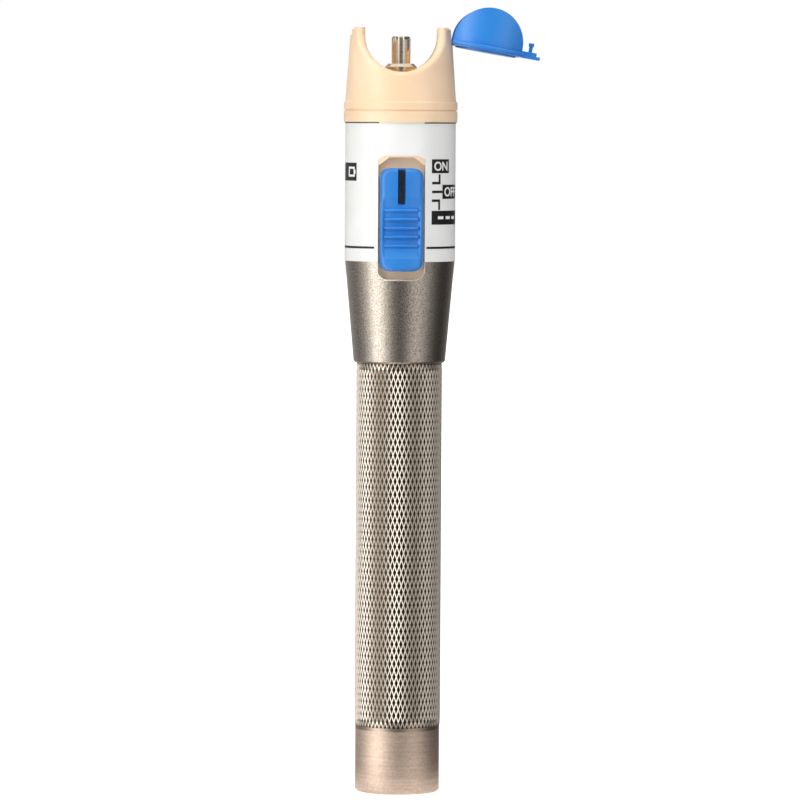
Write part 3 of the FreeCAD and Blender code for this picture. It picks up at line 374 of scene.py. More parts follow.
@dataclass(frozen=True)
class TurnedMetal(Finish):
    """Metal that was turned on a lathe: fine rings round the axis, under a satin grain.

    Attributes:
        ring: How far apart the tool marks show, in mm.
        relief: How deep they are, in mm.
        grain: How wide the satin grain shows, in mm.
    """

    ring: float = 0.5
    relief: float = 0.003
    grain: float = 0.5

    def pattern(self, tree: Tree, place: Socket) -> Inputs:
        """Build the tool marks across the axis, and the grain.

        Args:
            tree: The material's node tree.
            place: The place on the object, in metres.

        Returns:
            The shader's colour, roughness and normal.
        """
        drawn_out = {"Vector": place, "Scale": (0.04, 0.04, 1.0)}
        along = add_node(tree, "ShaderNodeMapping", drawn_out)
        lines = {"Vector": along, "Scale": 1 / (self.ring * MM), "Detail": 4.0}
        fine = {"Vector": place, "Scale": 1 / (self.grain * MM), "Detail": 2.0}
        marks, grain = add_node(tree, NOISE, lines), add_node(tree, NOISE, fine)
        total = add_node(tree, MATHS, [marks, grain], operation="ADD")
        colour = self.mixed(tree, total, 0.7, 1.3)
        return self.worked(tree, colour, grain, (-0.05, 0.05), total, self.relief)


@dataclass(frozen=True)
class KnurledMetal(Finish):
    """Knurled and anodised aluminium: bright ridges, and pits darkened with painted shade.

    Attributes:
        floor: The painted shade at the bottom of the pits, as sRGB hex.
        root: The radius of the pits' floors, in mm.
        crest: The radius of the ridges, in mm.
        grain: How wide the satin grain shows, in mm.
    """

    floor: str = "4A3F35"
    root: float = 9.5
    crest: float = 9.8
    grain: float = 0.6

    def pattern(self, tree: Tree, place: Socket) -> Inputs:
        """Build a colour that follows the height over the pits, darkening into them as painted shade,
        and a satin grain.

        Args:
            tree: The material's node tree.
            place: The place on the object, in metres.

        Returns:
            The shader's colour, roughness and normal.
        """
        flat = add_node(tree, VECTOR_MATHS, [place, (1.0, 1.0, 0.0)], operation="MULTIPLY")
        radius = add_node(tree, VECTOR_MATHS, [flat], operation="LENGTH").outputs["Value"]
        levels = {"Value": radius, "From Min": self.root * MM, "From Max": self.crest * MM}
        ramp = add_node(tree, "ShaderNodeValToRGB", {"Fac": add_node(tree, MAP_RANGE, levels)})
        stops = ramp.color_ramp.elements
        # Painted shade: the pits' floors are dark brown, rising through the shade to the bright crests.
        stops[0].color = linear_colour(self.floor)
        stops[1].color = linear_colour(self.colour)
        stops.new(0.55).color = linear_colour(self.shade)
        fine = {"Vector": place, "Scale": 1 / (self.grain * MM), "Detail": 2.0}
        grain = add_node(tree, NOISE, fine)
        return self.worked(tree, ramp, grain, (-0.06, 0.06), grain, 0.01, 0.6)


@dataclass(frozen=True)
class Laminate(Finish):
    """Green solder mask over a glass laminate, with the tracks showing paler under it.

    Attributes:
        track: How wide the tracks are, in mm.
    """

    track: float = 0.9

    def pattern(self, tree: Tree, place: Socket) -> Inputs:
        """Build right-angled tracks that stand a little proud under the mask.

        Args:
            tree: The material's node tree.
            place: The place on the object, in metres.

        Returns:
            The shader's colour, roughness and normal.
        """
        upright = {"Vector": place, "Rotation": (math.pi / 2, 0.0, 0.0)}
        wall = {
            "Vector": add_node(tree, "ShaderNodeMapping", upright),
            "Color1": linear_colour(self.colour),
            "Color2": linear_colour(self.colour),
            "Mortar": linear_colour(self.shade),
            "Scale": 1 / (10 * self.track * MM),
            "Mortar Size": 0.06,
        }
        bricks = add_node(tree, "ShaderNodeTexBrick", wall)
        tracks = bricks.outputs["Fac"]
        return self.worked(tree, bricks, tracks, (0.0, -0.1), tracks, 0.035)


@dataclass(frozen=True)
class OpticalGlass(Finish):
    """Polished lens glass with a faint blue coating and the odd speck of dust.

    Attributes:
        speck: How far apart the specks are, in mm.
    """

    speck: float = 0.3

    def constants(self) -> Inputs:
        """Add the clear body of the glass to the constants."""
        return super().constants() | {"Transmission Weight": 1.0}

    def pattern(self, tree: Tree, place: Socket) -> Inputs:
        """Build the dust, which dulls the polish in specks.

        Args:
            tree: The material's node tree.
            place: The place on the object, in metres.

        Returns:
            The shader's colour and roughness.
        """
        specks = add_node(tree, NOISE, {"Vector": place, "Scale": 1 / (self.speck * MM)})
        share = {"Value": specks, "From Min": 0.6, "From Max": 0.75}
        dull = {"To Min": self.roughness, "To Max": self.roughness + 0.2}
        gloss = add_node(tree, MAP_RANGE, share | dull)
        return {"Base Color": self.mixed(tree, specks, 0.6, 0.75), "Roughness": gloss}


# Sand-coloured ABS from a satin mould: warm, a little translucent, with soft wide highlights.
SAND_ABS = MouldedPlastic("sand_abs_moulded", "FBDDBB", "F8D5AF", 0.4, ior=1.54, translucency=0.1)
# Blue ABS from a polished mould: a clean strong blue that takes a narrow bright highlight.
BLUE_ABS = MouldedPlastic(
    "blue_abs_moulded", "2F88DC", "297ED2", 0.19, ior=1.54, relief=0.0012, translucency=0.05
)
# Bead-blasted anodised aluminium: warm grey, broad soft bands of painted reflection from the tent,
# broken into painted sparkle.
BLASTED_BARREL = BlastedMetal("aluminium_blasted_anodised", "CFC5B9", "8C8277", 0.27, 1.0)
# Champagne anodised aluminium, knurled: a bright net of ridges over pits darkened brown with painted
# shade.
KNURLED_GRIP = KnurledMetal("aluminium_knurled_anodised", "FFF6E9", "B8A896", 0.35, 1.0)
# Champagne anodised aluminium, turned and satin: an even rosy metal with faint rings.
TURNED_CHAMPAGNE = TurnedMetal("aluminium_turned_anodised", "E2CCBA", "C6AF9D", 0.52, 1.0)
# Champagne anodised aluminium round the slot's edge, painted pale as a thin bright line of highlight.
EDGE_HIGHLIGHT_PAINT = TurnedMetal("aluminium_edge_painted_highlight", "FFF6E6", "F4E4CC", 0.5, 1.0)
# Gloss-laminated paper film: near white, smooth, with a faint waviness in its shine.
WHITE_FILM = MouldedPlastic("label_film_laminated", "F3F3F1", "EEEEEB", 0.24, ior=1.49, texture=1.6)
# Screen-printed inks: flat and slightly rough, a little uneven where the screen left them.
BLACK_INK = MouldedPlastic("ink_black_screened", "141313", "1C1B1B", 0.42, mottle=1.2, texture=0.25)
WHITE_INK = MouldedPlastic("ink_white_screened", "F4F4F2", "ECECE9", 0.4, mottle=1.2, texture=0.25)
# Nickel plate with a warm tint on turned brass: bright, hard reflections and faint tool rings.
PLATED_PORT = TurnedMetal("brass_nickel_plated", "F1E6D3", "D9C7A8", 0.16, 1.0, ring=0.3, relief=0.001)
# Zirconia: a dense white ceramic with a glassy polish.
ZIRCONIA = MouldedPlastic("zirconia_polished", "F4F2EA", "EDEAE0", 0.12, ior=2.15, relief=0.0005)
# Turned brass: yellow, with visible tool rings.
TURNED_BRASS = TurnedMetal("brass_turned", "D9B665", "BE9746", 0.26, 1.0, ring=0.35)
# Gold-plated cap of a laser diode: rich yellow and smooth.
GOLD_PLATE = TurnedMetal("steel_gold_plated", "F2CD76", "DDB25A", 0.2, 1.0, relief=0.0008)
# Coated lens glass: clear and glassy, with a faint blue cast.
LENS_GLASS = OpticalGlass("glass_lens_coated", "F4F9FF", "D9E0E8", 0.02, ior=1.52)
# Clear anodised aluminium: pale silver, with a satin sheen.
CLEAR_ANODISED = TurnedMetal("aluminium_clear_anodised", "D5D6D8", "BCBDBF", 0.3, 1.0)
# Ground steel: neutral and bright, fine rings round its axis.
GROUND_STEEL = TurnedMetal("steel_ground", "C9C8C6", "ABAAA8", 0.24, 1.0, ring=0.25)
# Nitrile rubber: near black and matt, a dusty bloom on it. The bead at the head's joint uses it as
# painted shadow.
NITRILE = MouldedPlastic("rubber_nitrile", "191919", "232322", 0.62, ior=1.52, texture=0.3, relief=0.01)
# Shrink sleeve of a dry cell: thin glossy film, drawn tight.
SHRINK_SLEEVE = MouldedPlastic("film_shrink_sleeve", "2E3A40", "26313A", 0.22, ior=1.5, texture=2.2)
# Black glass-filled nylon: dull, with a speckle of fibres at its surface. The strip in the thumb
# piece's groove uses it as painted shade.
BLACK_NYLON = MouldedPlastic("nylon_black_moulded", "1C1C1E", "29292B", 0.5, ior=1.53, mottle=0.7)
# Black epoxy of a chip: fine matt moulding.
CHIP_EPOXY = MouldedPlastic("epoxy_black_moulded", "222224", "2C2C2E", 0.48, texture=0.2, relief=0.006)
# Aluminium can of a capacitor: drawn and bright.
DRAWN_CAN = TurnedMetal("aluminium_drawn", "C6CBD2", "AAB0B8", 0.25, 1.0, ring=0.6)
# Fibre laminate under a green solder mask: deep green and glossy, crossed by paler tracks.
SOLDER_MASK = Laminate("laminate_solder_mask", "1D6A3A", "2F8A50", 0.3)


# ---------------------------------------------------------------------------------------------
# Meshes
# ---------------------------------------------------------------------------------------------


def on_circle(radius: float, angle: float, level: float) -> Point3:
    """Return a point by its radius, its angle in radians from the front to the right, and its level."""
    return (radius * math.sin(angle), -radius * math.cos(angle), level)


def new_object(name: str, data: Any) -> bpy.types.Object:
    """Put a mesh, a curve, a light or a camera in the scene as an object at the origin.

    Args:
        name: The object's name.
        data: What it holds.

    Returns:
        The object.
    """
    made = bpy.data.objects.new(name, data)
    bpy.context.scene.collection.objects.link(made)
    return made


def mesh_of(name: str, form: Form, sharp: float | None = None) -> Mesh:
    """Keep a form as a mesh.

    Args:
        name: The mesh's name.
        form: The form, which is used up.
        sharp: The angle in degrees past which an edge stays sharp on a smooth mesh. With none, the
            faces stay as they are.

    Returns:
        The mesh.
    """
    mesh = bpy.data.meshes.new(name)
    form.to_mesh(mesh)
    form.free()
    if sharp is not None:
        mesh.polygons.foreach_set("use_smooth", [True] * len(mesh.polygons))
        mesh.set_sharp_from_angle(angle=math.radians(sharp))
    return mesh


def joined_mesh(name: str, meshes: list[Mesh]) -> Mesh:
    """Join several meshes into one, and remove them.

    Args:
        name: The new mesh's name.
        meshes: The meshes to join.

    Returns:
        The joined mesh.
    """
    form = bmesh.new()
    for mesh in meshes:
        form.from_mesh(mesh)
        bpy.data.meshes.remove(mesh)
    return mesh_of(name, form)


def swept_mesh(name: str, section: list[Point2], angles: list[float], whole: bool) -> Mesh:
    """Sweep a closed section round the Z axis.

    Args:
        name: The mesh's name.
        section: The section's corners as (radius, level) in metres, anticlockwise as seen with the
            axis on the left.
        angles: The angle of each copy of the section, in radians.
        whole: Whether they go the whole way round. If not, the ends are closed.

    Returns:
        A closed mesh, smooth but for its sharp corners.
    """
    form = bmesh.new()
    rings = [[form.verts.new(on_circle(r, angle, z)) for r, z in section] for angle in angles]
    for ring, after in zip(rings, rings[1:] + rings[:1] if whole else rings[1:]):
        for corner in range(len(section)):
            following = (corner + 1) % len(section)
            form.faces.new((ring[corner], after[corner], after[following], ring[following]))
    if not whole:
        form.faces.new(rings[0])
        form.faces.new(rings[-1])
        bmesh.ops.recalc_face_normals(form, faces=form.faces[:])
    return mesh_of(name, form, SHARP_ANGLE)


def turned_mesh(name: str, profile: list[Point2], segments: int = 128) -> Mesh:
    """Turn a closed outline the whole way round the Z axis, in a number of steps."""
    return swept_mesh(name, profile, [2 * math.pi * step / segments for step in range(segments)], True)


def add_walls(form: Form, copies: dict[bmesh.types.BMVert, bmesh.types.BMVert]) -> None:
    """Wall in a form's open edges, one after another, so that each run gives the same mesh.

    Args:
        form: The form, which is changed.
        copies: The point at the wall's far side, for each point of the open edges.
    """
    for one, two in [edge.verts[:] for edge in form.edges if edge.is_boundary]:
        form.faces.new((one, two, copies[two], copies[one]))


def printed_mesh(name: str, flat: Form, radius: float, thickness: float) -> Mesh:
    """Bend a flat drawing round the barrel as a thin closed layer of ink.

    Args:
        name: The mesh's name.
        flat: The drawing, with its width as arc length from the front along X and its level
            along Z. It is used up.
        radius: The radius of the surface under the ink.
        thickness: How far the ink stands proud.

    Returns:
        The bent layer.
    """
    low = min(v.co.x for v in flat.verts)
    high = max(v.co.x for v in flat.verts)
    step = INK_STEP * MM
    for number in range(1, math.ceil((high - low) / step)):
        whole = flat.verts[:] + flat.edges[:] + flat.faces[:]
        cut = (low + number * step, 0.0, 0.0)
        bmesh.ops.bisect_plane(flat, geom=whole, plane_co=cut, plane_no=(1.0, 0.0, 0.0))
    faces = flat.faces[:]
    raised = {v: flat.verts.new((v.co.x, -thickness, v.co.z)) for v in flat.verts[:]}
    add_walls(flat, raised)
    for face in faces:
        flat.faces.new([raised[vertex] for vertex in face.verts])
    for vertex in flat.verts:
        vertex.co = on_circle(radius - vertex.co.y, vertex.co.x / radius, vertex.co.z)
    bmesh.ops.recalc_face_normals(flat, faces=flat.faces[:])
    return mesh_of(name, flat)


def drawn_outlines(outlines: list[list[Point2]]) -> Form:
    """Draw filled outlines flat.

    Args:
        outlines: Each outline's corners, as (arc length, level) in metres.

    Returns:
        The flat drawing.
    """
    flat = bmesh.new()
    for outline in outlines:
        flat.faces.new([flat.verts.new((x, 0.0, z)) for x, z in outline])
    bmesh.ops.triangulate(flat, faces=flat.faces[:])
    return flat


def drawn_text(words: str, centre: Point2, height: float, width: float) -> Form:
    """Draw a word flat, stretched to the box that it fills.

    Args:
        words: What it says.
        centre: Its middle, as (arc length, level) in metres.
        height: The height of its capitals.
        width: Its whole width.

    Returns:
        The flat drawing.
    """
    curve = bpy.data.curves.new("lettering", "FONT")
    curve.body = words
    curve.offset = LETTER_WEIGHT
    carrier = new_object("lettering", curve)
    graph = bpy.context.evaluated_depsgraph_get()
    mesh = bpy.data.meshes.new_from_object(carrier.evaluated_get(graph))
    bpy.data.objects.remove(carrier)
    flat = bmesh.new()
    flat.from_mesh(mesh)
    bpy.data.meshes.remove(mesh)
    bmesh.ops.remove_doubles(flat, verts=flat.verts[:], dist=1e-5)
    low = Vector((min(v.co.x for v in flat.verts), min(v.co.y for v in flat.verts)))
    high = Vector((max(v.co.x for v in flat.verts), max(v.co.y for v in flat.verts)))
    for vertex in flat.verts:
        across = (vertex.co.x - low.x) / (high.x - low.x) - 0.5
        up = (vertex.co.y - low.y) / (high.y - low.y) - 0.5
        vertex.co = Vector((centre[0] + across * width, 0.0, centre[1] + up * height))
    return flat


def new_geometry_tree(name: str, kinds: dict[str, str]) -> tuple[Tree, Sizes]:
    """Start a Geometry Nodes tree with named inputs and one geometry output.

    Args:
        name: The tree's name.
        kinds: The socket type of each input, by name.

    Returns:
        The tree, and its inputs as sockets to link from, by name.
    """
    tree = bpy.data.node_groups.new(name, "GeometryNodeTree")
    for label, kind in kinds.items():
        tree.interface.new_socket(name=label, in_out="INPUT", socket_type=kind)
    tree.interface.new_socket(name="Geometry", in_out="OUTPUT", socket_type="NodeSocketGeometry")
    return tree, add_node(tree, "NodeGroupInput").outputs


def closed_tree(tree: Tree, skin: Node, finish: Socket) -> Tree:
    """End a Geometry Nodes tree by giving its mesh a finish.

    Args:
        tree: The tree.
        skin: The node that gives the mesh.
        finish: The finish.

    Returns:
        The tree.
    """
    dressed = add_node(tree, "GeometryNodeSetMaterial", {"Geometry": skin, "Material": finish})
    add_node(tree, "NodeGroupOutput", {"Geometry": dressed})
    return tree


def grown_mesh(
    name: str, tree: Tree, values: dict[str, Any], start: Mesh | None = None
) -> Mesh:
    """Run a Geometry Nodes tree once, and keep what it makes as a plain mesh.

    Args:
        name: The mesh's name.
        tree: The tree.
        values: What each of its inputs takes, by name.
        start: The mesh that the tree starts from, if it takes one.

    Returns:
        The mesh, with no modifier left.
    """
    carrier = new_object(name, start or bpy.data.meshes.new(name))
    modifier = carrier.modifiers.new(name, "NODES")
    modifier.node_group = tree
    inputs = [item for item in tree.interface.items_tree if item.in_out == "INPUT"]
    sockets = {item.name: item.identifier for item in inputs}
    for label, value in values.items():
        modifier[sockets[label]] = value
    graph = bpy.context.evaluated_depsgraph_get()
    mesh = bpy.data.meshes.new_from_object(carrier.evaluated_get(graph))
    carrier.modifiers.remove(modifier)
    bpy.data.objects.remove(carrier)
    return mesh


def bead_tree() -> Tree:
    """Build the tree that runs a round bead along a path of edges.

    Returns:
        The tree, with the bead's path and size as its inputs.
    """
    kinds = {"Path": "NodeSocketGeometry", "Radius": "NodeSocketFloat", "Finish": "NodeSocketMaterial"}
    tree, sizes = new_geometry_tree("bead", kinds)
    curve = add_node(tree, "GeometryNodeMeshToCurve", {"Mesh": sizes["Path"]})
    ring = {"Resolution": 10, "Radius": sizes["Radius"]}
    section = add_node(tree, "GeometryNodeCurvePrimitiveCircle", ring)
    run = {"Curve": curve, "Profile Curve": section, "Fill Caps": True}
    bead = add_node(tree, "GeometryNodeCurveToMesh", run)
    smooth = add_node(tree, "GeometryNodeSetShadeSmooth", {"Geometry": bead})
    real = add_node(tree, "GeometryNodeRealizeInstances", {"Geometry": smooth})
    return closed_tree(tree, real, sizes["Finish"])


def bead_mesh(name: str, path: list[Vector], radius: float, finish: Finish) -> Mesh:
    """Run a round bead along a path.

    Args:
        name: The mesh's name.
        path: The points that it follows, in metres.
        radius: Its radius, in metres.
        finish: Its finish.

    Returns:
        The bead as a plain mesh.
    """
    mesh = bpy.data.meshes.new(name)
    mesh.from_pydata(path, [(i, i + 1) for i in range(len(path) - 1)], [])
    return grown_mesh(name, bead_tree(), {"Radius": radius, "Finish": material_of(finish)}, mesh)


def add_piece(
    name: str, mesh: Mesh, finishes: list[Finish], body: Body, replaced: str = ""
) -> bpy.types.Object:
    """Add a finished mesh to the object.

    Args:
        name: The piece's name.
        mesh: Its mesh, in place.
        finishes: Its finishes, by material number.
        body: The body that it rides on.
        replaced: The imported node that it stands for, if any.

    Returns:
        The piece.
    """
    piece = new_object(name, mesh)
    mesh.materials.clear()
    for finish in finishes:
        mesh.materials.append(material_of(finish))
    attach(piece, body.value)
    if replaced:
        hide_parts(replaced)
    LOG.info("%s: %d faces, on %s", name, len(mesh.polygons), body.value)
    return piece


# ---------------------------------------------------------------------------------------------
# Sub-assemblies
# ---------------------------------------------------------------------------------------------


@dataclass
class SubAssembly:
    """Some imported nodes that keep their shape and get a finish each.

    Attributes:
        finishes: The finish of each node, by the node's name.
    """

    finishes: dict[str, Finish] = field(default_factory=dict)

    def dress(self) -> None:
        """Give each node its finish."""
        for node, finish in self.finishes.items():
            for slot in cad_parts[node].material_slots:
                slot.material = material_of(finish)
            LOG.info("%s: %s", node, finish.name)

    def build(self) -> None:
        """Make the sub-assembly's own pieces. Most have none."""


@dataclass
class KnurledGrip(SubAssembly):
    """The battery tube, with the knurl at its true pitch.

    Attributes:
        starts: How many ridges cross a turn in each direction.
        rows: How many rows of pits there are along the knurl.
        depth: How deep a pit is, in mm.
        shoulder_drop: How far a ridge falls away beside its crest, in mm.
        shoulder_share: How far the ridge's shoulder is from the pit's middle, as a share.
        floor_share: How far the edge of the pit's floor is from its middle, as a share.
        rim_radius: The plain rim at the foot, in mm.
        rim_length: Its length, in mm.
        bore_radius: The bore for the cells, in mm.
        socket_radius: The bore for the tail cap's thread, in mm.
        socket_depth: Its depth, in mm.
        spigot_radius: The thread that screws into the barrel, in mm.
        play: How far the tube under the knurl clears the pits' floors, in mm.
        weld: How near two points of the knurl are when they become one, in mm.
        trim: How far from an end the ridges come down to the rim, in mm.
        end_slope: How upright the normal of a face is that counts as part of a cut end.
    """

    starts: int = 60
    rows: int = 56
    depth: float = 0.3
    shoulder_drop: float = 0.05
    shoulder_share: float = 0.78
    floor_share: float = 0.45
    rim_radius: float = 9.65
    rim_length: float = 0.8
    bore_radius: float = 7.45
    socket_radius: float = 8.6
    socket_depth: float = 6.3
    spigot_radius: float = 8.9
    play: float = 0.02
    weld: float = 0.002
    trim: float = 0.01
    end_slope: float = 0.98

    def build(self) -> None:
        """Make the knurled skin and the tube under it, and join them as one piece."""
        low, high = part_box("grip_barrel")
        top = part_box("front_barrel")[0].z
        skin = self.knurl_mesh(high.x, low.z + self.rim_length * MM, top)
        tube = self.tube_mesh(high.x, low.z, top, high.z)
        tube.polygons.foreach_set("material_index", [1] * len(tube.polygons))
        mesh = joined_mesh("grip_knurled", [skin, tube])
        finishes = [KNURLED_GRIP, TURNED_CHAMPAGNE]
        add_piece("grip_knurled", mesh, finishes, Body.PEN, "grip_barrel")

    def tube_mesh(self, crest: float, foot: float, knurl_top: float, top: float) -> Mesh:
        """Turn the tube that carries the knurl.

        Args:
            crest: The radius of the knurl's ridges, in metres.
            foot: The level of its lower end.
            knurl_top: The level where the knurl ends.
            top: The level of its upper end.

        Returns:
            The tube.
        """
        root = crest - (self.depth + self.play) * MM
        sizes = (self.socket_radius, self.rim_radius, self.spigot_radius, self.bore_radius)
        socket, rim, spigot, bore = (size * MM for size in sizes)
        step, floor = foot + self.rim_length * MM, foot + self.socket_depth * MM
        outside = [(socket, foot), (rim, foot), (rim, step), (root, step), (root, knurl_top)]
        inside = [(spigot, knurl_top), (spigot, top), (bore, top), (bore, floor), (socket, floor)]
        return turned_mesh("grip_tube", outside + inside)

    def knurl_mesh(self, crest: float, bottom: float, top: float) -> Mesh:
        """Roll the knurl: one bent pit, set round and along the tube by Geometry Nodes.

        Args:
            crest: The radius of the ridges, in metres.
            bottom: The level where the knurl starts.
            top: The level where it ends.

        Returns:
            The knurled skin as a plain mesh.
        """
        values = {
            "Starts": self.starts,
            "Rows": self.rows,
            "Crest": crest,
            "Depth": self.depth * MM,
            "Shoulder Drop": self.shoulder_drop * MM,
            "Shoulder Share": self.shoulder_share,
            "Floor Share": self.floor_share,
            "Rim": self.rim_radius * MM,
            "Bottom": bottom,
            "Top": top,
            "Finish": material_of(KNURLED_GRIP),
        }
        kinds = {
            int: "NodeSocketInt",
            float: "NodeSocketFloat",
            bpy.types.Material: "NodeSocketMaterial",
        }
        inputs = {name: kinds[type(value)] for name, value in values.items()}
        return grown_mesh("grip_skin", self.knurl_tree(inputs), values)

    def knurl_tree(self, kinds: dict[str, str]) -> Tree:
        """Build the node tree that rolls the knurl.

        Args:
            kinds: The socket type of each of its inputs, by name.

        Returns:
            The tree.
        """
        tree, sizes = new_geometry_tree("knurl", kinds)
        points, turn = self.pit_places(tree, sizes)
        copies = {"Points": points, "Instance": self.bent_pit(tree, sizes), "Rotation": turn}
        placed = add_node(tree, "GeometryNodeInstanceOnPoints", copies)
        real = add_node(tree, "GeometryNodeRealizeInstances", {"Geometry": placed})
        joints = {"Geometry": self.trimmed_ends(tree, sizes, real), "Distance": self.weld * MM}
        welded = add_node(tree, "GeometryNodeMergeByDistance", joints)
        return closed_tree(tree, welded, sizes["Finish"])

    def bent_pit(self, tree: Tree, sizes: Sizes) -> Node:
        """Shape one pit and its half-ridges, bent round the front of the tube.

        Args:
            tree: The tree to build in.
            sizes: The tree's inputs.

        Returns:
            The pit's geometry.
        """
        add = functools.partial(add_node, tree)
        shares = [1.0, sizes["Shoulder Share"], sizes["Floor Share"], 0.0]
        drops = [0.0, sizes["Shoulder Drop"], sizes["Depth"], sizes["Depth"]]
        rings = len(shares) - 1
        shape = {"Vertices": 4, "Side Segments": rings, "Depth": 1.0}
        ends = {"Radius Top": 0.0, "Radius Bottom": 1.0}
        cone = add("GeometryNodeMeshCone", shape | ends, fill_type="NONE")
        x, y, z = add(SEPARATE, [add("GeometryNodeInputPosition")]).outputs
        ring = add("FunctionNodeFloatToInt", [add(MATHS, [z, float(rings)], operation="MULTIPLY")])
        spread, drop = (add("GeometryNodeIndexSwitch", data_type="FLOAT") for _ in range(2))
        for switch, choices in ((spread, shares), (drop, drops)):
            while len(switch.index_switch_items) < len(choices):
                switch.index_switch_items.new()
            for socket, choice in zip(list(switch.inputs), [ring, *choices]):
                feed(tree, socket, choice)
        left = add(MATHS, [1.0, z], operation="SUBTRACT")
        reach = add(MATHS, [spread, left], operation="DIVIDE")
        across = add(MATHS, [x, reach], operation="MULTIPLY")
        up = add(MATHS, [y, reach], operation="MULTIPLY")
        half = add(MATHS, [math.pi, sizes["Starts"]], operation="DIVIDE")
        angle = add(MATHS, [across, half], operation="MULTIPLY")
        sine = add(MATHS, [angle], operation="SINE")
        cosine = add(MATHS, [angle], operation="COSINE")
        radius = add(MATHS, [sizes["Crest"], drop], operation="SUBTRACT")
        inward = add(MATHS, [drop, sizes["Crest"]], operation="SUBTRACT")
        span = add(MATHS, [sizes["Top"], sizes["Bottom"]], operation="SUBTRACT")
        row = add(MATHS, [span, sizes["Rows"]], operation="DIVIDE")
        pairs = ([radius, sine], [inward, cosine], [up, row])
        bent = add(COMBINE, [add(MATHS, pair, operation="MULTIPLY") for pair in pairs])
        return add("GeometryNodeSetPosition", {"Geometry": cone, "Position": bent})

    def pit_places(self, tree: Tree, sizes: Sizes) -> tuple[Node, Node]:
        """Place a point on the axis for each pit, with every other row turned by half a space.

        Args:
            tree: The tree to build in.
            sizes: The tree's inputs.

        Returns:
            The points, and the turn of each pit about the axis.
        """
        add = functools.partial(add_node, tree)
        starts, rows = sizes["Starts"], sizes["Rows"]
        lines = add(MATHS, [rows, 1.0], operation="ADD")
        count = add(MATHS, [lines, starts], operation="MULTIPLY")
        number = add("GeometryNodeInputIndex")
        row = add(MATHS, [add(MATHS, [number, starts], operation="DIVIDE")], operation="FLOOR")
        level = {"Value": row, "From Max": rows, "To Min": sizes["Bottom"], "To Max": sizes["Top"]}
        place = add(COMBINE, {"Z": add(MAP_RANGE, level)})
        points = add("GeometryNodePoints", {"Count": count, "Position": place})
        odd = add(MATHS, [row, 2.0], operation="MODULO")
        half = add(MATHS, [odd, 0.5], operation="MULTIPLY")
        column = add(MATHS, [number, starts], operation="MODULO")
        step = add(MATHS, [column, half], operation="ADD")
        space = add(MATHS, [2 * math.pi, starts], operation="DIVIDE")
        angle = add(MATHS, [step, space], operation="MULTIPLY")
        return points, add("FunctionNodeEulerToRotation", [add(COMBINE, {"Z": angle})])

    def trimmed_ends(self, tree: Tree, sizes: Sizes, skin: Node) -> Node:
        """Cut the knurl off square at both ends, and run its ridges down to the rim there.

        Args:
            tree: The tree to build in.
            sizes: The tree's inputs.
            skin: The knurl as it was placed.

        Returns:
            The trimmed skin.
        """
        add = functools.partial(add_node, tree)
        bottom, top = sizes["Bottom"], sizes["Top"]
        x, y, z = add(SEPARATE, [add("GeometryNodeInputPosition")]).outputs
        level = add("ShaderNodeClamp", {"Value": z, "Min": bottom, "Max": top})
        below = add(MATHS, [level, bottom], operation="SUBTRACT")
        above = add(MATHS, [top, level], operation="SUBTRACT")
        nearest = add(MATHS, [below, above], operation="MINIMUM")
        free = add(MATHS, [nearest, self.trim * MM], operation="GREATER_THAN")
        ends = {"Factor": free, 2: sizes["Rim"], 3: sizes["Crest"]}
        limit = add("ShaderNodeMix", ends, data_type="FLOAT")
        radius = add(VECTOR_MATHS, [add(COMBINE, [x, y])], operation="LENGTH").outputs["Value"]
        scale = add(MATHS, [limit, radius], operation="DIVIDE", use_clamp=True)
        squared = [add(MATHS, [side, scale], operation="MULTIPLY") for side in (x, y)]
        target = add(COMBINE, [*squared, level])
        cut = add("GeometryNodeSetPosition", {"Geometry": skin, "Position": target})
        upright = add(SEPARATE, [add("GeometryNodeInputNormal")]).outputs["Z"]
        steep = add(MATHS, [upright], operation="ABSOLUTE")
        end_face = add(MATHS, [steep, self.end_slope], operation="GREATER_THAN")
        ends_off = {"Geometry": cut, "Selection": end_face}
        return add("GeometryNodeDeleteGeometry", ends_off, domain="FACE")


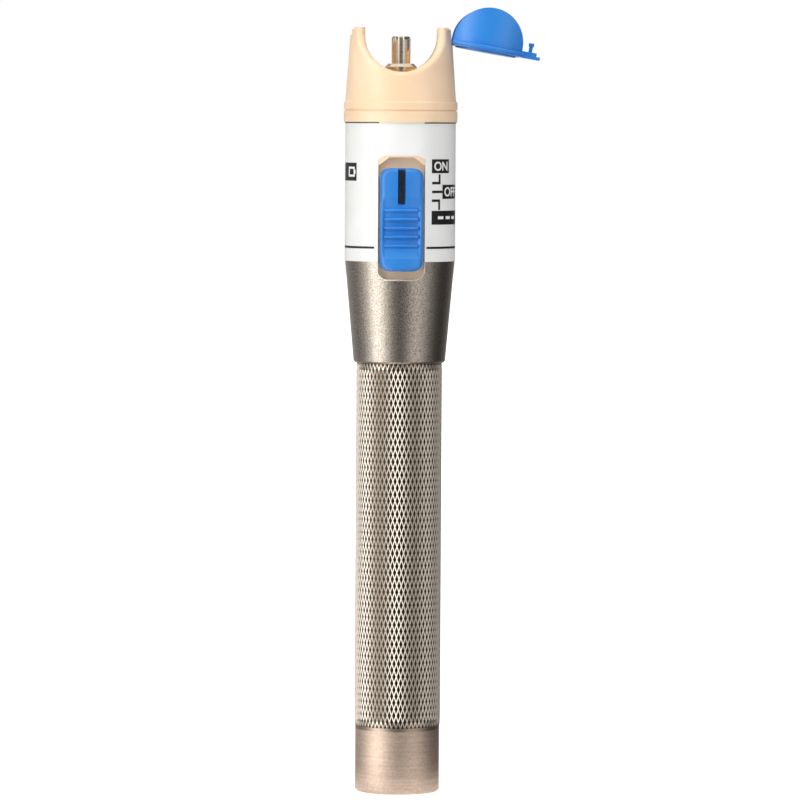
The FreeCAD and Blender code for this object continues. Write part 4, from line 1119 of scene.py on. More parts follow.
@dataclass
class Barrel(SubAssembly):
    """The front barrel, with the film round it and the film's print.

    Angles are in degrees from the front towards the right, and lengths in mm. The print's levels
    are from the film's foot.

    Attributes:
        ink: How far the black ink stands proud of the film. The white stands twice as far.
        line: The left, right, bottom and top of the line round the foot, which runs round the back.
        boxes: Each black box: its legend, and its left, right, bottom and top.
        leader: The width of the leader lines.
        leaders: The corners of each leader line.
        dash: The start, the spacing and the length of the dashes, in ninths of their box, and half
            their height.
        cell: The cell's right and left end from its box's right side, its distance from the box's
            top and bottom, and the width of its lines.
        cell_tip: The length and half the height of the cell's terminal.
        word_margin: How much lower and narrower a word is than its box.
        slot_half: Half the width of the slot in the barrel.
        slot_drop: How far the slot runs under the film.
        slot_corner: The radius of its lower corners.
        slot_edge: The radius of its edge bead, which is pale as a painted highlight.
        slot_clear: How far that edge stops short of the film.
        shoulder_radius: The radius at the foot of the shoulder.
        gap_shade: The radius of the dark bead at the head's joint, which paints the shadow of the gap.
        gap_shade_sunk: How far the bead's middle lies under the film.
        gap_shade_start: How far from the front the bead starts.
        radius: The radius of the film, in metres.
        foot: The level of its foot, in metres.
    """

    ink: float = 0.02
    line: Box = (27.0, 331.0, 2.95, 3.45)
    boxes: dict[Legend, Box] = field(
        default_factory=lambda: {
            Legend.ON: (33.0, 59.3, 20.15, 23.3),
            Legend.OFF: (48.0, 79.5, 14.3, 17.5),
            Legend.PULSE: (33.0, 82.5, 8.45, 11.6),
            Legend.CELL: (-88.0, -53.5, 18.3, 22.4),
        }
    )
    leader: float = 0.58
    leaders: tuple[tuple[Point2, ...], ...] = (
        ((43.5, 19.6), (43.5, 17.9), (34.8, 17.9)),
        ((34.8, 15.9), (46.5, 15.9)),
        ((34.5, 13.9), (43.0, 13.9), (43.0, 12.1)),
    )
    dash: Box = (1.5, 2.25, 1.5, 0.35)
    cell: Box = (3.0, 16.0, 0.9, 0.5)
    cell_tip: Point2 = (1.3, 0.45)
    word_margin: Point2 = (1.05, 1.3)
    slot_half: float = 5.33
    slot_drop: float = 4.15
    slot_corner: float = 2.3
    slot_edge: float = 0.2
    slot_clear: float = 0.05
    shoulder_radius: float = 10.5
    gap_shade: float = 0.2
    gap_shade_sunk: float = 0.02
    gap_shade_start: float = 24.0
    radius: float = field(init=False)
    foot: float = field(init=False)

    def build(self) -> None:
        """Run the slot's pale edge, which paints its highlight, lay the dark bead that paints the
        shadow at the head's joint, and lay the black and the white ink.
        """
        self.add_slot_edge()
        low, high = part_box("label_wrap")
        self.radius, self.foot = high.x, low.z
        self.add_joint_gap_shade(high.z)
        black = [self.box(*sides) for sides in (self.line, *self.boxes.values())]
        for corners in self.leaders:
            black += [self.stroke(*pair) for pair in zip(corners, corners[1:])]
        self.print_layer("label_print_black", drawn_outlines(black), BLACK_INK, self.ink)
        white = drawn_outlines(self.pulse_marks() + self.cell_marks())
        for legend in (Legend.ON, Legend.OFF):
            self.add_legend(white, legend)
        self.print_layer("label_print_white", white, WHITE_INK, 2 * self.ink)

    def add_slot_edge(self) -> None:
        """Run a rounded edge round the lower end of the slot, pale as a painted highlight."""
        foot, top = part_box("front_barrel")
        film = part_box("label_wrap")[0].z
        half, corner = self.slot_half * MM, self.slot_corner * MM
        bottom, steps = film - self.slot_drop * MM, 12
        left = [(-half, film - self.slot_clear * MM)]
        for step in range(steps + 1):
            angle = math.radians(180 + 90 * step / steps)
            across, up = corner * math.cos(angle), corner * math.sin(angle)
            left.append((corner - half + across, bottom + corner + up))
        floor = [(share * (half - corner), bottom) for share in (-0.6, -0.2, 0.2, 0.6)]
        path = []
        for x, z in left + floor + [(-x, z) for x, z in reversed(left)]:
            share = (z - foot.z) / (film - foot.z)
            radius = self.shoulder_radius * MM + (top.x - self.shoulder_radius * MM) * share
            path.append(Vector((x, -math.sqrt(radius * radius - x * x), z)))
        # Painted highlight: the bead's pale colour brightens the slot's edge.
        mesh = bead_mesh("slot_edge", path, self.slot_edge * MM, EDGE_HIGHLIGHT_PAINT)
        add_piece("slot_edge", mesh, [EDGE_HIGHLIGHT_PAINT], Body.PEN)

    def add_joint_gap_shade(self, level: float) -> None:
        """Lay a thin dark bead between the film and the head, from one side of the slot to the other,
        as painted shadow in the gap of the joint.

        Args:
            level: The level of the joint, in metres.
        """
        steps, span = 120, 360 - 2 * self.gap_shade_start
        angles = [math.radians(self.gap_shade_start + step * span / steps) for step in range(steps + 1)]
        reach = self.radius - self.gap_shade_sunk * MM
        path = [Vector(on_circle(reach, angle, level)) for angle in angles]
        # Painted shadow: a near-black rubber bead stands for the shade in the gap between the film and
        # the head.
        mesh = bead_mesh("joint_gap_shade", path, self.gap_shade * MM, NITRILE)
        add_piece("joint_gap_shade", mesh, [NITRILE], Body.PEN)

    def arc(self, angle: float) -> float:
        """Return how far round the film an angle is, in metres."""
        return math.radians(angle) * self.radius

    def box(self, left: float, right: float, bottom: float, top: float) -> list[Point2]:
        """Draw a box flat.

        Args:
            left: The angle of its left side.
            right: The angle of its right side.
            bottom: The level of its foot.
            top: The level of its top.

        Returns:
            Its outline.
        """
        near, far = self.arc(left), self.arc(right)
        low, high = self.foot + bottom * MM, self.foot + top * MM
        return [(near, low), (far, low), (far, high), (near, high)]

    def stroke(self, start: Point2, end: Point2) -> list[Point2]:
        """Draw one straight stretch of a leader line, with square ends.

        Args:
            start: Its first end, as (angle, level).
            end: Its other end.

        Returns:
            Its outline.
        """
        half = self.leader / 2
        turn = math.degrees(half * MM / self.radius)
        (left, right), (bottom, top) = (sorted(pair) for pair in zip(start, end))
        return self.box(left - turn, right + turn, bottom - half, top + half)

    def pulse_marks(self) -> list[list[Point2]]:
        """Draw a row of dashes, for flashing light, in the lowest box.

        Returns:
            Their outlines.
        """
        left, right, bottom, top = self.boxes[Legend.PULSE]
        first, spacing, length, half = self.dash
        share, middle = (right - left) / 9, (bottom + top) / 2
        starts = [left + share * (first + spacing * number) for number in range(3)]
        low, high = middle - half, middle + half
        return [self.box(start, start + length * share, low, high) for start in starts]

    def cell_marks(self) -> list[list[Point2]]:
        """Draw the outline of a cell, for the battery, in the box on the left.

        Returns:
            The outlines of its lines and of its terminal.
        """
        right, bottom, top = self.boxes[Legend.CELL][1:]
        from_near, from_far, margin, wall = self.cell
        near, far, low, high = right - from_near, right - from_far, bottom + margin, top - margin
        turn = math.degrees(wall * MM / self.radius)
        length, half = self.cell_tip
        middle = (low + high) / 2
        return [
            self.box(far, near, low, low + wall),
            self.box(far, near, high - wall, high),
            self.box(far, far + turn, low + wall, high - wall),
            self.box(near - turn, near, low + wall, high - wall),
            self.box(near, near + length, middle - half, middle + half),
        ]

    def add_legend(self, drawing: Form, legend: Legend) -> None:
        """Add a box's word to a drawing.

        Args:
            drawing: The drawing to add to.
            legend: Which box.
        """
        left, right, bottom, top = self.boxes[legend]
        centre = (self.arc((left + right) / 2), self.foot + (bottom + top) / 2 * MM)
        height = (top - bottom - self.word_margin[0]) * MM
        width = self.arc(right - left) - self.word_margin[1] * MM
        mesh = mesh_of("word", drawn_text(legend.value, centre, height, width))
        drawing.from_mesh(mesh)
        bpy.data.meshes.remove(mesh)

    def print_layer(self, name: str, flat: Form, ink: Finish, thickness: float) -> None:
        """Bend a drawing on to the film, and add it as a layer of ink so many mm thick."""
        mesh = printed_mesh(name, flat, self.radius, thickness * MM)
        add_piece(name, mesh, [ink], Body.PEN)


@dataclass
class ThumbSlider(SubAssembly):
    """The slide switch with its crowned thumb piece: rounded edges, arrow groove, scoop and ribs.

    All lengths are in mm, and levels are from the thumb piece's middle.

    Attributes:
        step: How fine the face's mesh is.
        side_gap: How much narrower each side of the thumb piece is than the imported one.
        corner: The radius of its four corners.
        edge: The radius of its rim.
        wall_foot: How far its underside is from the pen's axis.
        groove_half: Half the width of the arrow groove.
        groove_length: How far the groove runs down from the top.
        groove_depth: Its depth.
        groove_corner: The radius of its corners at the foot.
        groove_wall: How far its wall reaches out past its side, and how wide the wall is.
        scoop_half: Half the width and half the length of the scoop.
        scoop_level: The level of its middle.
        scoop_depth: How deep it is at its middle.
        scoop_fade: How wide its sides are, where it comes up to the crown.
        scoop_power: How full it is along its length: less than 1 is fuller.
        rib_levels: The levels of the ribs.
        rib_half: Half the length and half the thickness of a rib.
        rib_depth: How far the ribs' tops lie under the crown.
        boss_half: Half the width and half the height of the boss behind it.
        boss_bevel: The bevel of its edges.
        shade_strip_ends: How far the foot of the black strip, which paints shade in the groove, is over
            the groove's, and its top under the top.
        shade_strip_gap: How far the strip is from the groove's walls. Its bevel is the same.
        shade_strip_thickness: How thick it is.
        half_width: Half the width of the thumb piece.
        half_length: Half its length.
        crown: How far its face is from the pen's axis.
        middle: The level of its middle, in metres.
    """

    step: float = 0.13
    side_gap: float = 0.12
    corner: float = 2.3
    edge: float = 1.05
    wall_foot: float = 10.3
    groove_half: float = 0.78
    groove_length: float = 8.3
    groove_depth: float = 1.7
    groove_corner: float = 0.4
    groove_wall: Point2 = (0.12, 0.2)
    scoop_half: Point2 = (4.7, 6.9)
    scoop_level: float = -1.9
    scoop_depth: float = 1.1
    scoop_fade: float = 1.1
    scoop_power: float = 0.8
    rib_levels: tuple[float, ...] = (2.15, 0.15, -1.85, -3.85, -5.85)
    rib_half: Point2 = (3.95, 0.38)
    rib_depth: float = 0.04
    boss_half: Point2 = (1.8, 2.8)
    boss_bevel: float = 0.2
    shade_strip_ends: Point2 = (0.3, 0.45)
    shade_strip_gap: float = 0.1
    shade_strip_thickness: float = 0.4
    half_width: float = field(init=False)
    half_length: float = field(init=False)
    crown: float = field(init=False)
    middle: float = field(init=False)

    def build(self) -> None:
        """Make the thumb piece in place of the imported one."""
        low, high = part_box("switch_slider")
        self.half_width = high.x / MM - self.side_gap
        self.half_length = (high.z - low.z) / 2 / MM
        self.crown = -low.y / MM
        self.middle = (high.z + low.z) / 2
        form = self.face()
        self.close(form)
        self.add_boss(form, -high.y / MM)
        bmesh.ops.recalc_face_normals(form, faces=form.faces[:])
        mesh = mesh_of("thumb_slider", form, 50.0)
        add_piece("thumb_slider", mesh, [BLUE_ABS], Body.SLIDER, "switch_slider")
        self.add_groove_shade()

    def add_groove_shade(self) -> None:
        """Let a black strip into the floor of the arrow groove, as painted shade in the groove."""
        # Painted shade: a black block darkens the floor of the groove.
        form = bmesh.new()
        strip = bmesh.ops.create_cube(form, size=1.0)
        bottom = self.half_length - self.groove_length + self.shade_strip_ends[0]
        top = self.half_length - self.shade_strip_ends[1]
        level = -(self.crown - self.groove_depth + self.shade_strip_gap)
        for vertex in strip["verts"]:
            vertex.co.x *= 2 * (self.groove_half - self.shade_strip_gap) * MM
            vertex.co.y = (level + vertex.co.y * self.shade_strip_thickness) * MM
            vertex.co.z = self.middle + ((top + bottom) / 2 + vertex.co.z * (top - bottom)) * MM
        bevel = self.shade_strip_gap * MM
        bmesh.ops.bevel(form, geom=form.edges[:], offset=bevel, segments=2, affect="EDGES")
        mesh = mesh_of("groove_shade_strip", form)
        add_piece("groove_shade_strip", mesh, [BLACK_NYLON], Body.SLIDER)

    def depth_at(self, x: float, z: float) -> float:
        """Work out how far the face lies under the crown at a place.

        Args:
            x: Across, from the middle.
            z: The level, from the middle.

        Returns:
            The depth in mm.
        """
        out_x = max(abs(x) - self.half_width + self.corner, 0.0)
        out_z = max(abs(z) - self.half_length + self.corner, 0.0)
        nearest = min(self.half_width - abs(x), self.half_length - abs(z), self.corner)
        inside = self.corner - math.hypot(out_x, out_z) if out_x and out_z else nearest
        short = max(self.edge - max(inside, 0.0), 0.0)
        depth = self.edge - math.sqrt(max(self.edge**2 - short**2, 0.0))
        depth += self.scoop_at(x, z)
        depth = self.ribs_at(x, z, depth)
        return max(depth, self.groove_at(x, z))

    def scoop_at(self, x: float, z: float) -> float:
        """Work out the depth of the scoop at a place.

        Args:
            x: Across, from the middle.
            z: The level, from the middle.

        Returns:
            The depth in mm.
        """
        share = (z - self.scoop_level) / self.scoop_half[1]
        side = min(max((self.scoop_half[0] - abs(x)) / self.scoop_fade, 0.0), 1.0)
        along = max(1 - share * share, 0.0) ** self.scoop_power
        return self.scoop_depth * along * side * side * (3 - 2 * side)

    def ribs_at(self, x: float, z: float, depth: float) -> float:
        """Raise a place to the rib that passes it, if one does.

        Args:
            x: Across, from the middle.
            z: The level, from the middle.
            depth: The depth without the ribs.

        Returns:
            The depth with them.
        """
        half_length, half = self.rib_half
        away = min(abs(z - level) for level in self.rib_levels)
        past = max(abs(x) - half_length + half, 0.0)
        off = math.hypot(away, past)
        if off >= half:
            return depth
        return min(depth, self.rib_depth + half - math.sqrt(half * half - off * off))

    def groove_at(self, x: float, z: float) -> float:
        """Work out the depth of the arrow groove at a place, with its rounded foot and rim.

        Args:
            x: Across, from the middle.
            z: The level, from the middle.

        Returns:
            The depth in mm.
        """
        foot, corner = self.half_length - self.groove_length, self.groove_corner
        out = max(abs(x) - self.groove_half + corner, 0.0)
        down = max(foot + corner - z, 0.0)
        inside = corner - math.hypot(out, down) if out or down else corner
        reach, width = self.groove_wall
        return self.groove_depth * min(max((inside + reach) / width, 0.0), 1.0)

    def face(self) -> Form:
        """Build the thumb piece's outside, from rim to rim.

        Returns:
            The open face.
        """
        form = bmesh.new()
        columns = round(2 * self.half_width / self.step)
        rows = round(2 * self.half_length / self.step)
        grid = []
        for row in range(rows + 1):
            z = self.half_length * (2 * row / rows - 1)
            past = max(abs(z) - self.half_length + self.corner, 0.0)
            reach = self.half_width - self.corner + math.sqrt(max(self.corner**2 - past**2, 0.0))
            line = []
            for column in range(columns + 1):
                x = min(max(self.half_width * (2 * column / columns - 1), -reach), reach)
                y = self.depth_at(x, z) - math.sqrt(self.crown**2 - x * x)
                line.append(form.verts.new((x * MM, y * MM, self.middle + z * MM)))
            grid.append(line)
        for below, above in zip(grid, grid[1:]):
            for column in range(columns):
                form.faces.new((below[column], below[column + 1], above[column + 1], above[column]))
        bmesh.ops.remove_doubles(form, verts=form.verts[:], dist=0.01 * MM)
        return form

    def close(self, form: Form) -> None:
        """Give the face its side walls and its underside.

        Args:
            form: The open face, which is changed.
        """
        rim = dict.fromkeys(v for edge in form.edges if edge.is_boundary for v in edge.verts)
        level = -self.wall_foot * MM
        add_walls(form, {v: form.verts.new((v.co.x, level, v.co.z)) for v in rim})
        foot = [edge for edge in form.edges if edge.is_boundary]
        bmesh.ops.edgeloop_fill(form, edges=foot)

    def add_boss(self, form: Form, reach: float) -> None:
        """Add the boss behind the thumb piece that carries the lever along.

        Args:
            form: The thumb piece, which is changed.
            reach: How near the boss comes to the pen's axis, in mm.
        """
        half_x, half_z = self.boss_half
        boss = bmesh.ops.create_cube(form, size=1.0)
        depth = self.wall_foot - reach
        for vertex in boss["verts"]:
            vertex.co.x *= 2 * half_x * MM
            vertex.co.z = self.middle + vertex.co.z * 2 * half_z * MM
            vertex.co.y = -(reach + depth / 2) * MM + vertex.co.y * depth * MM
        edges = list(dict.fromkeys(edge for vertex in boss["verts"] for edge in vertex.link_edges))
        bevel = self.boss_bevel * MM
        bmesh.ops.bevel(form, geom=edges, offset=bevel, segments=2, affect="EDGES")


@dataclass
class OpticalPort(SubAssembly):
    """The optical port: a flanged stem that carries four sprung prongs round a ceramic sleeve.

    Lengths are in mm and angles in degrees.

    Attributes:
        tube_radius: The outside of the prongs.
        sleeve_radius: Their inside, round the sleeve.
        mouth_radius: The opening between their tips.
        tube_length: Their length.
        bevel: The bevel round their tips.
        lip: How thick the tips are, along the axis.
        prongs: The middle and the half-width of each prong, from the front towards the right.
        flange_height: The height of the flange.
        flange_bevel: The bevel round its top.
        stem_radius: The stem under the flange.
        light_radius: The bore for the light.
        flange_foot_bevel: The bevel round the flange's foot.
    """

    tube_radius: float = 2.15
    sleeve_radius: float = 1.62
    mouth_radius: float = 1.35
    tube_length: float = 6.25
    bevel: float = 0.4
    lip: float = 0.7
    prongs: tuple[Point2, ...] = ((0.0, 11.5), (90.0, 57.0), (180.0, 11.5), (270.0, 57.0))
    flange_height: float = 2.9
    flange_bevel: float = 0.7
    stem_radius: float = 2.8
    light_radius: float = 1.0
    flange_foot_bevel: float = 0.2

    def build(self) -> None:
        """Make the prongs, the flange and the stem as one plated piece."""
        low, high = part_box("adapter_body")
        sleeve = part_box("alignment_sleeve")[0].z
        flange = high.z - self.tube_length * MM
        meshes = [self.stem_mesh(low.z, sleeve, flange, high.x)]
        meshes += [self.prong_mesh(flange, high.z, *prong) for prong in self.prongs]
        mesh = joined_mesh("port_adapter", meshes)
        add_piece("port_adapter", mesh, [PLATED_PORT], Body.PEN, "adapter_body")

    def stem_mesh(self, foot: float, sleeve: float, flange: float, radius: float) -> Mesh:
        """Turn the stem and the flange.

        Args:
            foot: The level of the stem's lower end.
            sleeve: The level where the sleeve's bore starts.
            flange: The level of the flange's top.
            radius: The flange's radius.

        Returns:
            The stem.
        """
        under, bevel = flange - self.flange_height * MM, self.flange_bevel * MM
        foot_bevel, light = self.flange_foot_bevel * MM, self.light_radius * MM
        stem, bore = self.stem_radius * MM, self.sleeve_radius * MM
        profile = [
            (light, foot),
            (stem, foot),
            (stem, under),
            (radius - foot_bevel, under),
            (radius, under + foot_bevel),
            (radius, flange - bevel),
            (radius - bevel, flange),
            (bore, flange),
            (bore, sleeve),
            (light, sleeve),
        ]
        return turned_mesh("port_stem", profile, 96)

    def prong_mesh(self, foot: float, tip: float, middle: float, half: float) -> Mesh:
        """Sweep one prong's section through its share of a turn.

        Args:
            foot: The level of its foot.
            tip: The level of its tip.
            middle: The direction of its middle.
            half: Half the angle that it fills.

        Returns:
            The prong, closed at both sides.
        """
        sizes = (self.tube_radius, self.sleeve_radius, self.mouth_radius, self.bevel, self.lip)
        outside, inside, mouth, bevel, lip = (size * MM for size in sizes)
        section = [
            (inside, foot),
            (outside, foot),
            (outside, tip - bevel),
            (outside - bevel / 3, tip - bevel / 3),
            (outside - bevel, tip),
            (mouth, tip),
            (mouth, tip - lip),
            (inside, tip - lip),
        ]
        steps = max(4, round(half / 4))
        turns = [middle - half + 2 * half * step / steps for step in range(steps + 1)]
        return swept_mesh("port_prong", section, [math.radians(turn) for turn in turns], False)


@dataclass
class DustCap(SubAssembly):
    """The hinged dust cap, with the rounded lip round its plate.

    Attributes:
        lip: The radius of the lip's bead, in mm.
        plate_radius: The radius of the plate, in mm.
        plate_level: How far the plate's underside is from the hinge, in mm.
        pen_offset: How far the hinge is from the middle of the plate, in mm.
        open_angle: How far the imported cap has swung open, in degrees.
        lip_half: Half the angle that the lip fills, at the front and at the back.
    """

    lip: float = 0.5
    plate_radius: float = 11.6
    plate_level: float = 1.1
    pen_offset: float = 9.9
    open_angle: float = 190.0
    lip_half: float = 42.0

    def build(self) -> None:
        """Run the lip round the front and the back of the plate."""
        low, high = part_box("hinge_pin")
        centre = (low + high) / 2
        turn = Matrix.Rotation(math.radians(self.open_angle), 3, "Y")
        meshes, half_steps = [], 24
        for side in (0.0, 180.0):
            path = []
            for step in range(2 * half_steps + 1):
                angle = math.radians(side + self.lip_half * (step / half_steps - 1))
                x, y, z = on_circle(self.plate_radius, angle, self.plate_level)
                place = turn @ Vector((x - self.pen_offset, y, z)) * MM
                path.append(Vector((centre.x, 0.0, centre.z)) + place)
            meshes.append(bead_mesh("cap_lip", path, self.lip * MM, BLUE_ABS))
        mesh = joined_mesh("cap_lip", meshes)
        add_piece("cap_lip", mesh, [BLUE_ABS], Body.CAP)


# ---------------------------------------------------------------------------------------------
# Studio
# ---------------------------------------------------------------------------------------------


@dataclass(frozen=True)
class Lamp:
    """A soft lamp that faces the object.

    Attributes:
        azimuth: Its direction, in degrees from the front towards the right.
        elevation: Its angle over the horizon, in degrees.
        distance: From the middle of the object, in metres.
        width: Its width, in metres.
        height: Its height, in metres.
        power: Its power, in watts.
    """

    azimuth: float
    elevation: float
    distance: float
    width: float
    height: float
    power: float


@dataclass
class Studio:
    """A white backdrop, a pale floor, soft lamps, a glowing tent seen only in reflections, and the
    camera.

    Attributes:
        ambient: How bright the room is for matt surfaces, where 1 is white.
        floor_side: The side of the floor, in metres.
        floor_glow: How bright the floor is under the object and far from it.
        glow_reach: How far from the axis it starts and stops rising, in metres.
        lamps: The lamps, by name.
        tent_radius: The radius of the round glowing tent whose panels the metal shows as painted
            reflections, in metres.
        tent_height: Its height, in metres.
        tent_steps: How many flat sides it has.
        mat_radius: The inner radius of its own mat, which carries the panels inwards, in metres.
        tent_peak: The brightness that its shade is painted against, where 1 is white.
        tent_levels: How bright its wall is at each azimuth, in degrees towards the right.
        camera_distance: From the pen's axis, in metres.
        camera_level: The height of the camera, in metres.
        aim: Where it looks, as (X, Z) in metres.
        turn: How far round it stands, in degrees from the front towards the right.
        roll: How far it leans, in degrees.
        focal_length: For a sensor 36 mm wide, in mm.
    """

    ambient: float = 0.45
    floor_side: float = 8.0
    floor_glow: Point2 = (0.5, 1.0)
    glow_reach: Point2 = (0.1, 1.2)
    lamps: dict[str, Lamp] = field(
        default_factory=lambda: {
            "key": Lamp(-58.0, 12.0, 1.0, 0.22, 0.9, 4.6),
            "fill": Lamp(40.0, 10.0, 1.2, 0.35, 0.8, 1.0),
            "front": Lamp(4.0, 40.0, 1.2, 0.5, 0.4, 2.8),
            "top": Lamp(0.0, 76.0, 1.3, 0.7, 0.6, 5.4),
        }
    )
    tent_radius: float = 0.45
    tent_height: float = 0.6
    tent_steps: int = 96
    mat_radius: float = 0.02
    tent_peak: float = 3.6
    # fmt: off
    tent_levels: tuple[Point2, ...] = (
        (-180.0, 0.5), (-146.0, 0.4), (-114.0, 0.25), (-92.0, 0.5), (-74.0, 1.2),
        (-62.0, 2.7), (-48.0, 2.5), (-38.0, 1.6), (-28.0, 0.75), (-14.0, 0.25),
        (0.0, 0.12), (14.0, 0.3), (28.0, 0.75), (42.0, 0.95), (58.0, 0.6),
        (74.0, 0.25), (92.0, 0.08), (114.0, 0.05), (148.0, 0.2), (180.0, 0.5),
    )
    # fmt: on
    camera_distance: float = 1.22
    camera_level: float = 0.155
    aim: Point2 = (0.00022, 0.0899)
    turn: float = -1.5
    roll: float = 0.33
    focal_length: float = 239.6

    def build(self) -> None:
        """Build the room, from the backdrop to the camera."""
        self.add_backdrop()
        self.add_floor()
        self.add_tent()
        for name, lamp in self.lamps.items():
            self.add_lamp(name, lamp)
        self.add_camera()

    def seen_white(self, tree: Tree) -> Node:
        """Tell the rays that see the backdrop from the ones that only light the object.

        Args:
            tree: The tree to build in.

        Returns:
            A node that gives 1 for a ray that sees the backdrop, and 0 for others.
        """
        rays = add_node(tree, "ShaderNodeLightPath")
        total: Node | float = 0.0
        for ray in Ray:
            total = add_node(tree, MATHS, [total, rays.outputs[ray.value]], operation="MAXIMUM")
        return total

    def add_backdrop(self) -> None:
        """Make the world white where it is seen, and plain soft light elsewhere."""
        world = bpy.data.worlds.new("backdrop")
        tree = emptied_tree(world)
        levels = {"Value": self.seen_white(tree), "To Min": self.ambient, "To Max": 1.0}
        glow = {"Color": (1.0, 1.0, 1.0, 1.0), "Strength": add_node(tree, MAP_RANGE, levels)}
        background = add_node(tree, "ShaderNodeBackground", glow)
        add_node(tree, "ShaderNodeOutputWorld", {"Surface": background})
        bpy.context.scene.world = world

    def staged(
        self, name: str, corners: list[Point3], faces: list[tuple[int, ...]], look: str
    ) -> tuple[bpy.types.Object, Tree]:
        """Add a part of the room with a bare material.

        Args:
            name: Its name.
            corners: Its corners, in metres.
            faces: The corners of each face.
            look: The material's name.

        Returns:
            The part, and its material's empty node tree.
        """
        mesh = bpy.data.meshes.new(name)
        mesh.from_pydata(corners, [], faces)
        material = bpy.data.materials.new(look)
        mesh.materials.append(material)
        part = new_object(name, mesh)
        return part, emptied_tree(material)

    def add_floor(self) -> None:
        """Lay a pale floor that is as white as the backdrop but still takes the shadow."""
        half = self.floor_side / 2
        corners = [(x * half, y * half, 0.0) for x, y in ((-1, -1), (1, -1), (1, 1), (-1, 1))]
        tree = self.staged("floor", corners, [(0, 1, 2, 3)], "floor_matt_white")[1]
        matt = add_node(tree, "ShaderNodeBsdfDiffuse", {"Color": (0.8, 0.8, 0.8, 1.0)})
        place = add_node(tree, "ShaderNodeTexCoord").outputs["Object"]
        away = add_node(tree, VECTOR_MATHS, [place], operation="LENGTH").outputs["Value"]
        reach = {"From Min": self.glow_reach[0], "From Max": self.glow_reach[1]}
        glow = {"To Min": self.floor_glow[0], "To Max": self.floor_glow[1]}
        lift = add_node(tree, MAP_RANGE, {"Value": away} | reach | glow)
        strength = add_node(tree, MATHS, [lift, self.seen_white(tree)], operation="MULTIPLY")
        light = add_node(tree, "ShaderNodeEmission", {"Strength": strength})
        both = add_node(tree, "ShaderNodeAddShader", [matt, light])
        add_node(tree, "ShaderNodeOutputMaterial", {"Surface": both})

    def add_tent(self) -> None:
        """Stand a round glowing tent about the object, seen only in reflections: bright and dark panels
        painted into its metal's reflections.
        """
        ring = [(self.mat_radius, MM), (self.tent_radius, MM), (self.tent_radius, self.tent_height)]
        corners, faces = [], []
        for step in range(self.tent_steps):
            angle = 2 * math.pi * step / self.tent_steps
            corners += [on_circle(radius, angle, level) for radius, level in ring]
            here, after = 3 * step, 3 * ((step + 1) % self.tent_steps)
            faces += [(here + row, after + row, after + row + 1, here + row + 1) for row in (0, 1)]
        tent, tree = self.staged("tent", corners, faces, "painted_reflection_panels")
        add = functools.partial(add_node, tree)
        x, y, _ = add(SEPARATE, [add("ShaderNodeTexCoord").outputs["Object"]]).outputs
        azimuth = add(MATHS, [x, add(MATHS, [y, -1.0], operation="MULTIPLY")], operation="ARCTAN2")
        share = add(MAP_RANGE, {"Value": azimuth, "From Min": -math.pi, "From Max": math.pi})
        ramp = add("ShaderNodeValToRGB", {"Fac": share})
        stops = ramp.color_ramp.elements
        while len(stops) < len(self.tent_levels):
            stops.new(1.0)
        for stop, (angle, level) in zip(stops, self.tent_levels):
            stop.position = angle / 360 + 0.5
            stop.color = (*[level / self.tent_peak] * 3, 1.0)
        shine = {"Color": ramp, "Strength": self.tent_peak}
        add("ShaderNodeOutputMaterial", {"Surface": add("ShaderNodeEmission", shine)})
        # Only glossy rays see the tent: it glows as painted reflection, and gives no diffuse light or
        # shadow.
        for ray in ("camera", "diffuse", "transmission", "shadow"):
            setattr(tent, f"visible_{ray}", False)

    def add_lamp(self, name: str, lamp: Lamp) -> None:
        """Hang a lamp.

        Args:
            name: Its name.
            lamp: Its place, size and power.
        """
        light = bpy.data.lights.new(name, "AREA")
        light.shape = "RECTANGLE"
        light.size = lamp.width
        light.size_y = lamp.height
        light.energy = lamp.power
        hung = new_object(name, light)
        over = math.radians(lamp.elevation)
        away = Vector(on_circle(math.cos(over), math.radians(lamp.azimuth), math.sin(over)))
        middle = (CAD_BOX[0] + CAD_BOX[1]) / 2
        hung.location = Vector((0.0, 0.0, middle.z)) + away * lamp.distance
        hung.rotation_euler = away.to_track_quat("Z", "Y").to_euler()
        hung.visible_glossy = False

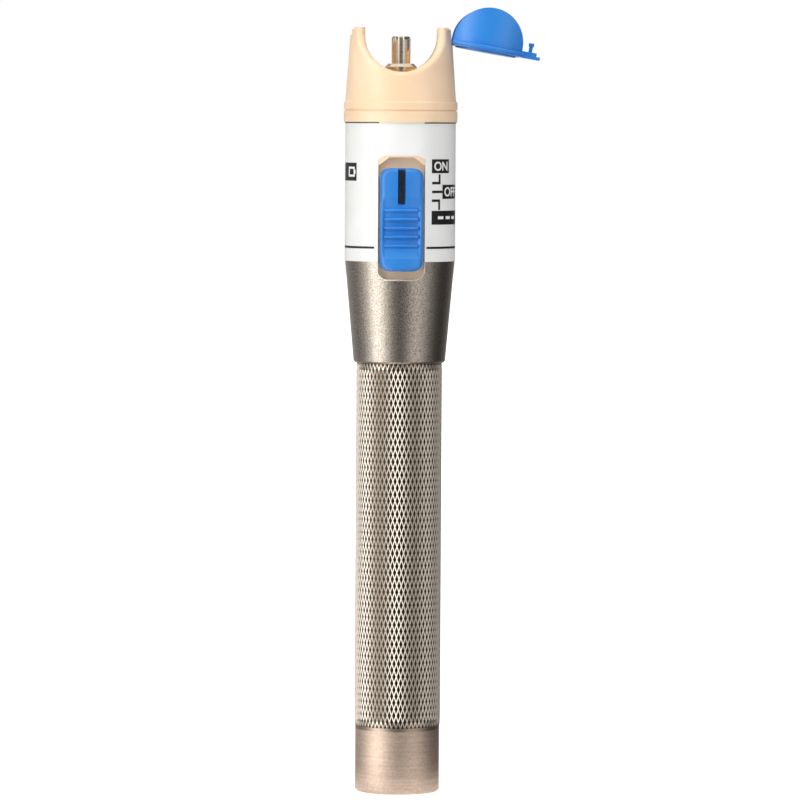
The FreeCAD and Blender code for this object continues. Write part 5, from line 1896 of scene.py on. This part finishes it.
    def add_camera(self) -> None:
        """Set the camera at the level of the head, looking a little down."""
        data = bpy.data.cameras.new("camera")
        data.sensor_width = 36.0
        data.lens = self.focal_length
        data.clip_start = 0.05
        camera = new_object("camera", data)
        away = Vector(on_circle(1.0, math.radians(self.turn), 0.0)) * self.camera_distance
        aim = Vector((self.aim[0], 0.0, self.aim[1]))
        camera.location = Vector((aim.x, 0.0, self.camera_level)) + away
        look = (aim - camera.location).to_track_quat("-Z", "Y").to_matrix()
        lean = Euler((0.0, 0.0, math.radians(self.roll))).to_matrix()
        camera.rotation_euler = (look @ lean).to_euler()
        bpy.context.scene.camera = camera


def main() -> None:
    """Build and dress each sub-assembly in order, then the studio round it."""
    logging.basicConfig(level=logging.INFO, format="%(name)s: %(message)s")
    groups = [
        SubAssembly({"tail_cap": TURNED_CHAMPAGNE, "tail_seal": NITRILE, "tail_spring": GROUND_STEEL}),
        SubAssembly({"battery_rear": SHRINK_SLEEVE, "battery_front": SHRINK_SLEEVE}),
        KnurledGrip({"grip_barrel": KNURLED_GRIP}),
        Barrel({"front_barrel": BLASTED_BARREL, "label_wrap": WHITE_FILM}),
        SubAssembly({"contact_carrier": BLACK_NYLON, "front_contact": TURNED_BRASS}),
        SubAssembly(
            {"circuit_board": SOLDER_MASK, "driver_chip": CHIP_EPOXY, "smoothing_capacitor": DRAWN_CAN}
        ),
        ThumbSlider(
            {"switch_body": GROUND_STEEL, "switch_lever": BLACK_NYLON, "switch_slider": BLUE_ABS}
        ),
        SubAssembly({"laser_housing": TURNED_BRASS, "laser_diode": GOLD_PLATE}),
        SubAssembly({"focus_lens": LENS_GLASS, "lens_retainer": CLEAR_ANODISED}),
        SubAssembly({"head_shell": SAND_ABS, "hinge_pin": GROUND_STEEL}),
        OpticalPort({"adapter_body": PLATED_PORT, "alignment_sleeve": ZIRCONIA}),
        DustCap({"dust_cap": BLUE_ABS}),
    ]
    for group in groups:
        group.build()
        group.dress()
    Studio().build()
    bpy.context.scene.view_settings.view_transform = "Standard"


if __name__ == "__main__":
    main()
